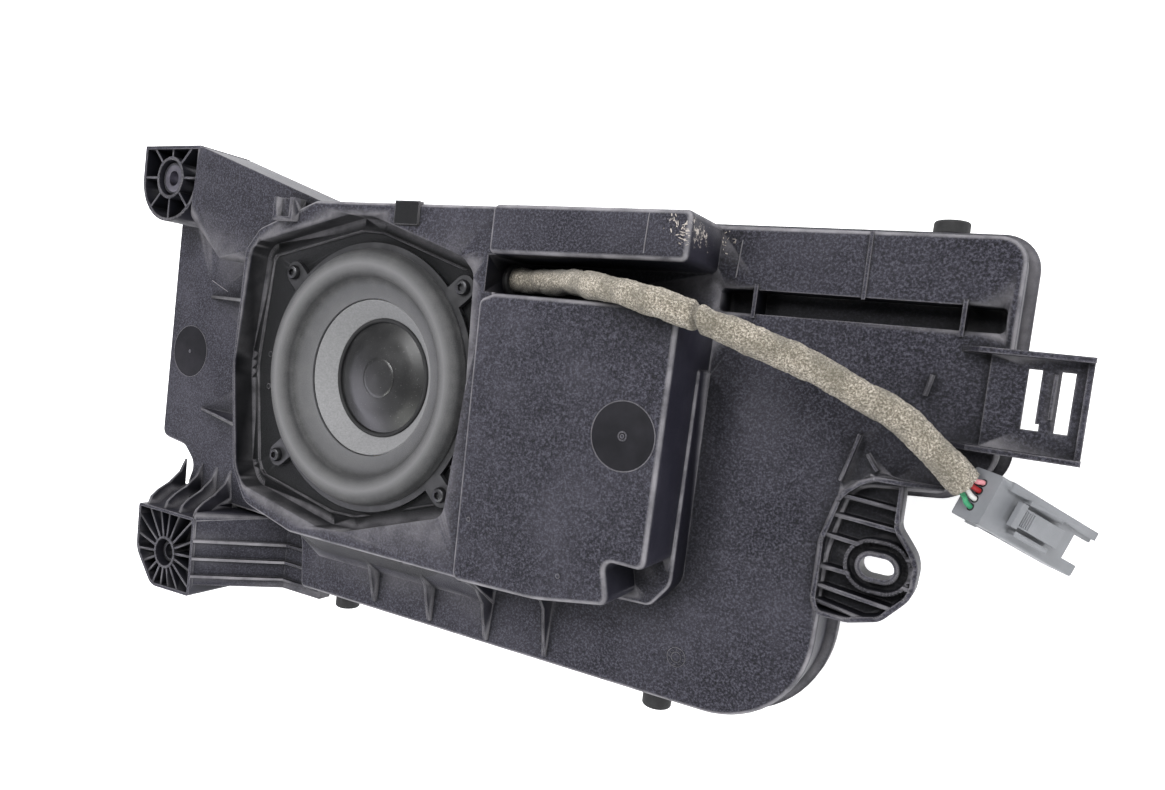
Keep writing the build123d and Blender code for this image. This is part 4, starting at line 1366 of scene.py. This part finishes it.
studio = {
    "floor": (0.86, 0.86, 0.87),
    "floorPale": (0.88, 0.88, 0.89),
    "floorSize": 14.0,
    "floorGlow": 0.72,
    "worldStrength": 0.30,
}
# place, aim, size, power and colour of each lamp
softboxes = {
    "keySoftbox": ((0.55, 0.85, 1.35), (0, 0, 0.03), (0.9, 0.7), 20.0, (1, 1, 1)),
    "crownSoftbox": ((-0.44, 0.60, 1.53), (-0.05, 0, 0.03), (0.45, 0.35), 15.0, (1, 1, 1)),
    "windowPane": ((-0.47, -0.80, 1.42), (-0.05, 0, 0.03), (0.45, 0.35), 7.0, (0.98, 1.0, 0.93)),
    "fillSoftbox": ((1.1, -0.8, 1.0), (0.05, 0, 0.03), (0.9, 0.5), 8.0, (0.96, 0.98, 1.0)),
    "edgeStrip": ((-1.2, -0.6, 0.9), (-0.1, 0, 0.03), (1.2, 0.4), 7.0, (0.90, 0.88, 1.0)),
}


def makeFloor():
    builder = bmesh.new()
    bmesh.ops.create_grid(builder, x_segments=4, y_segments=4, size=studio["floorSize"])
    piece = finishMesh("floor", builder)
    material, tree, surface, place = startMaterial("paleFloor", Roughness=0.85)
    cloud = noiseOn(tree, place, 3.0)
    tone = rampOn(tree, cloud, (0.3, studio["floor"]), (0.7, studio["floorPale"]))
    tree.links.new(tone, surface.inputs["Base Color"])
    surface.inputs["Emission Color"].default_value = (1, 1, 1, 1)
    surface.inputs["Emission Strength"].default_value = studio["floorGlow"]
    setMaterial(piece, material)


def makeLight(name, place, aim, size, power, colour):
    data = bpy.data.lights.new(name, "AREA")
    data.shape = "RECTANGLE"
    data.size, data.size_y = size
    data.energy = power
    data.color = colour
    light = bpy.data.objects.new(name, data)
    facing = (Vector(aim) - Vector(place)).to_track_quat("-Z", "Y")
    light.matrix_world = Matrix.Translation(place) @ facing.to_matrix().to_4x4()
    scene.collection.objects.link(light)


def makeStudio():
    makeFloor()
    for name, lamp in softboxes.items():
        makeLight(name, *lamp)
    world = bpy.data.worlds.new("studio")
    world.use_nodes = True
    background = world.node_tree.nodes["Background"]
    background.inputs["Strength"].default_value = 1.0
    tree = world.node_tree
    where = addNode(tree, "ShaderNodeTexCoord")
    split = addNode(tree, "ShaderNodeSeparateXYZ")
    tree.links.new(where.outputs["Generated"], split.inputs[0])
    level = studio["worldStrength"]
    sky = rampOn(tree, split.outputs["Z"], (0.16, (1.0, 1.0, 1.0)), (0.34, (level, level, level)))
    tree.links.new(sky, background.inputs["Color"])
    scene.world = world
    scene.view_settings.view_transform = "Standard"


makeStudio()
print("studio made")
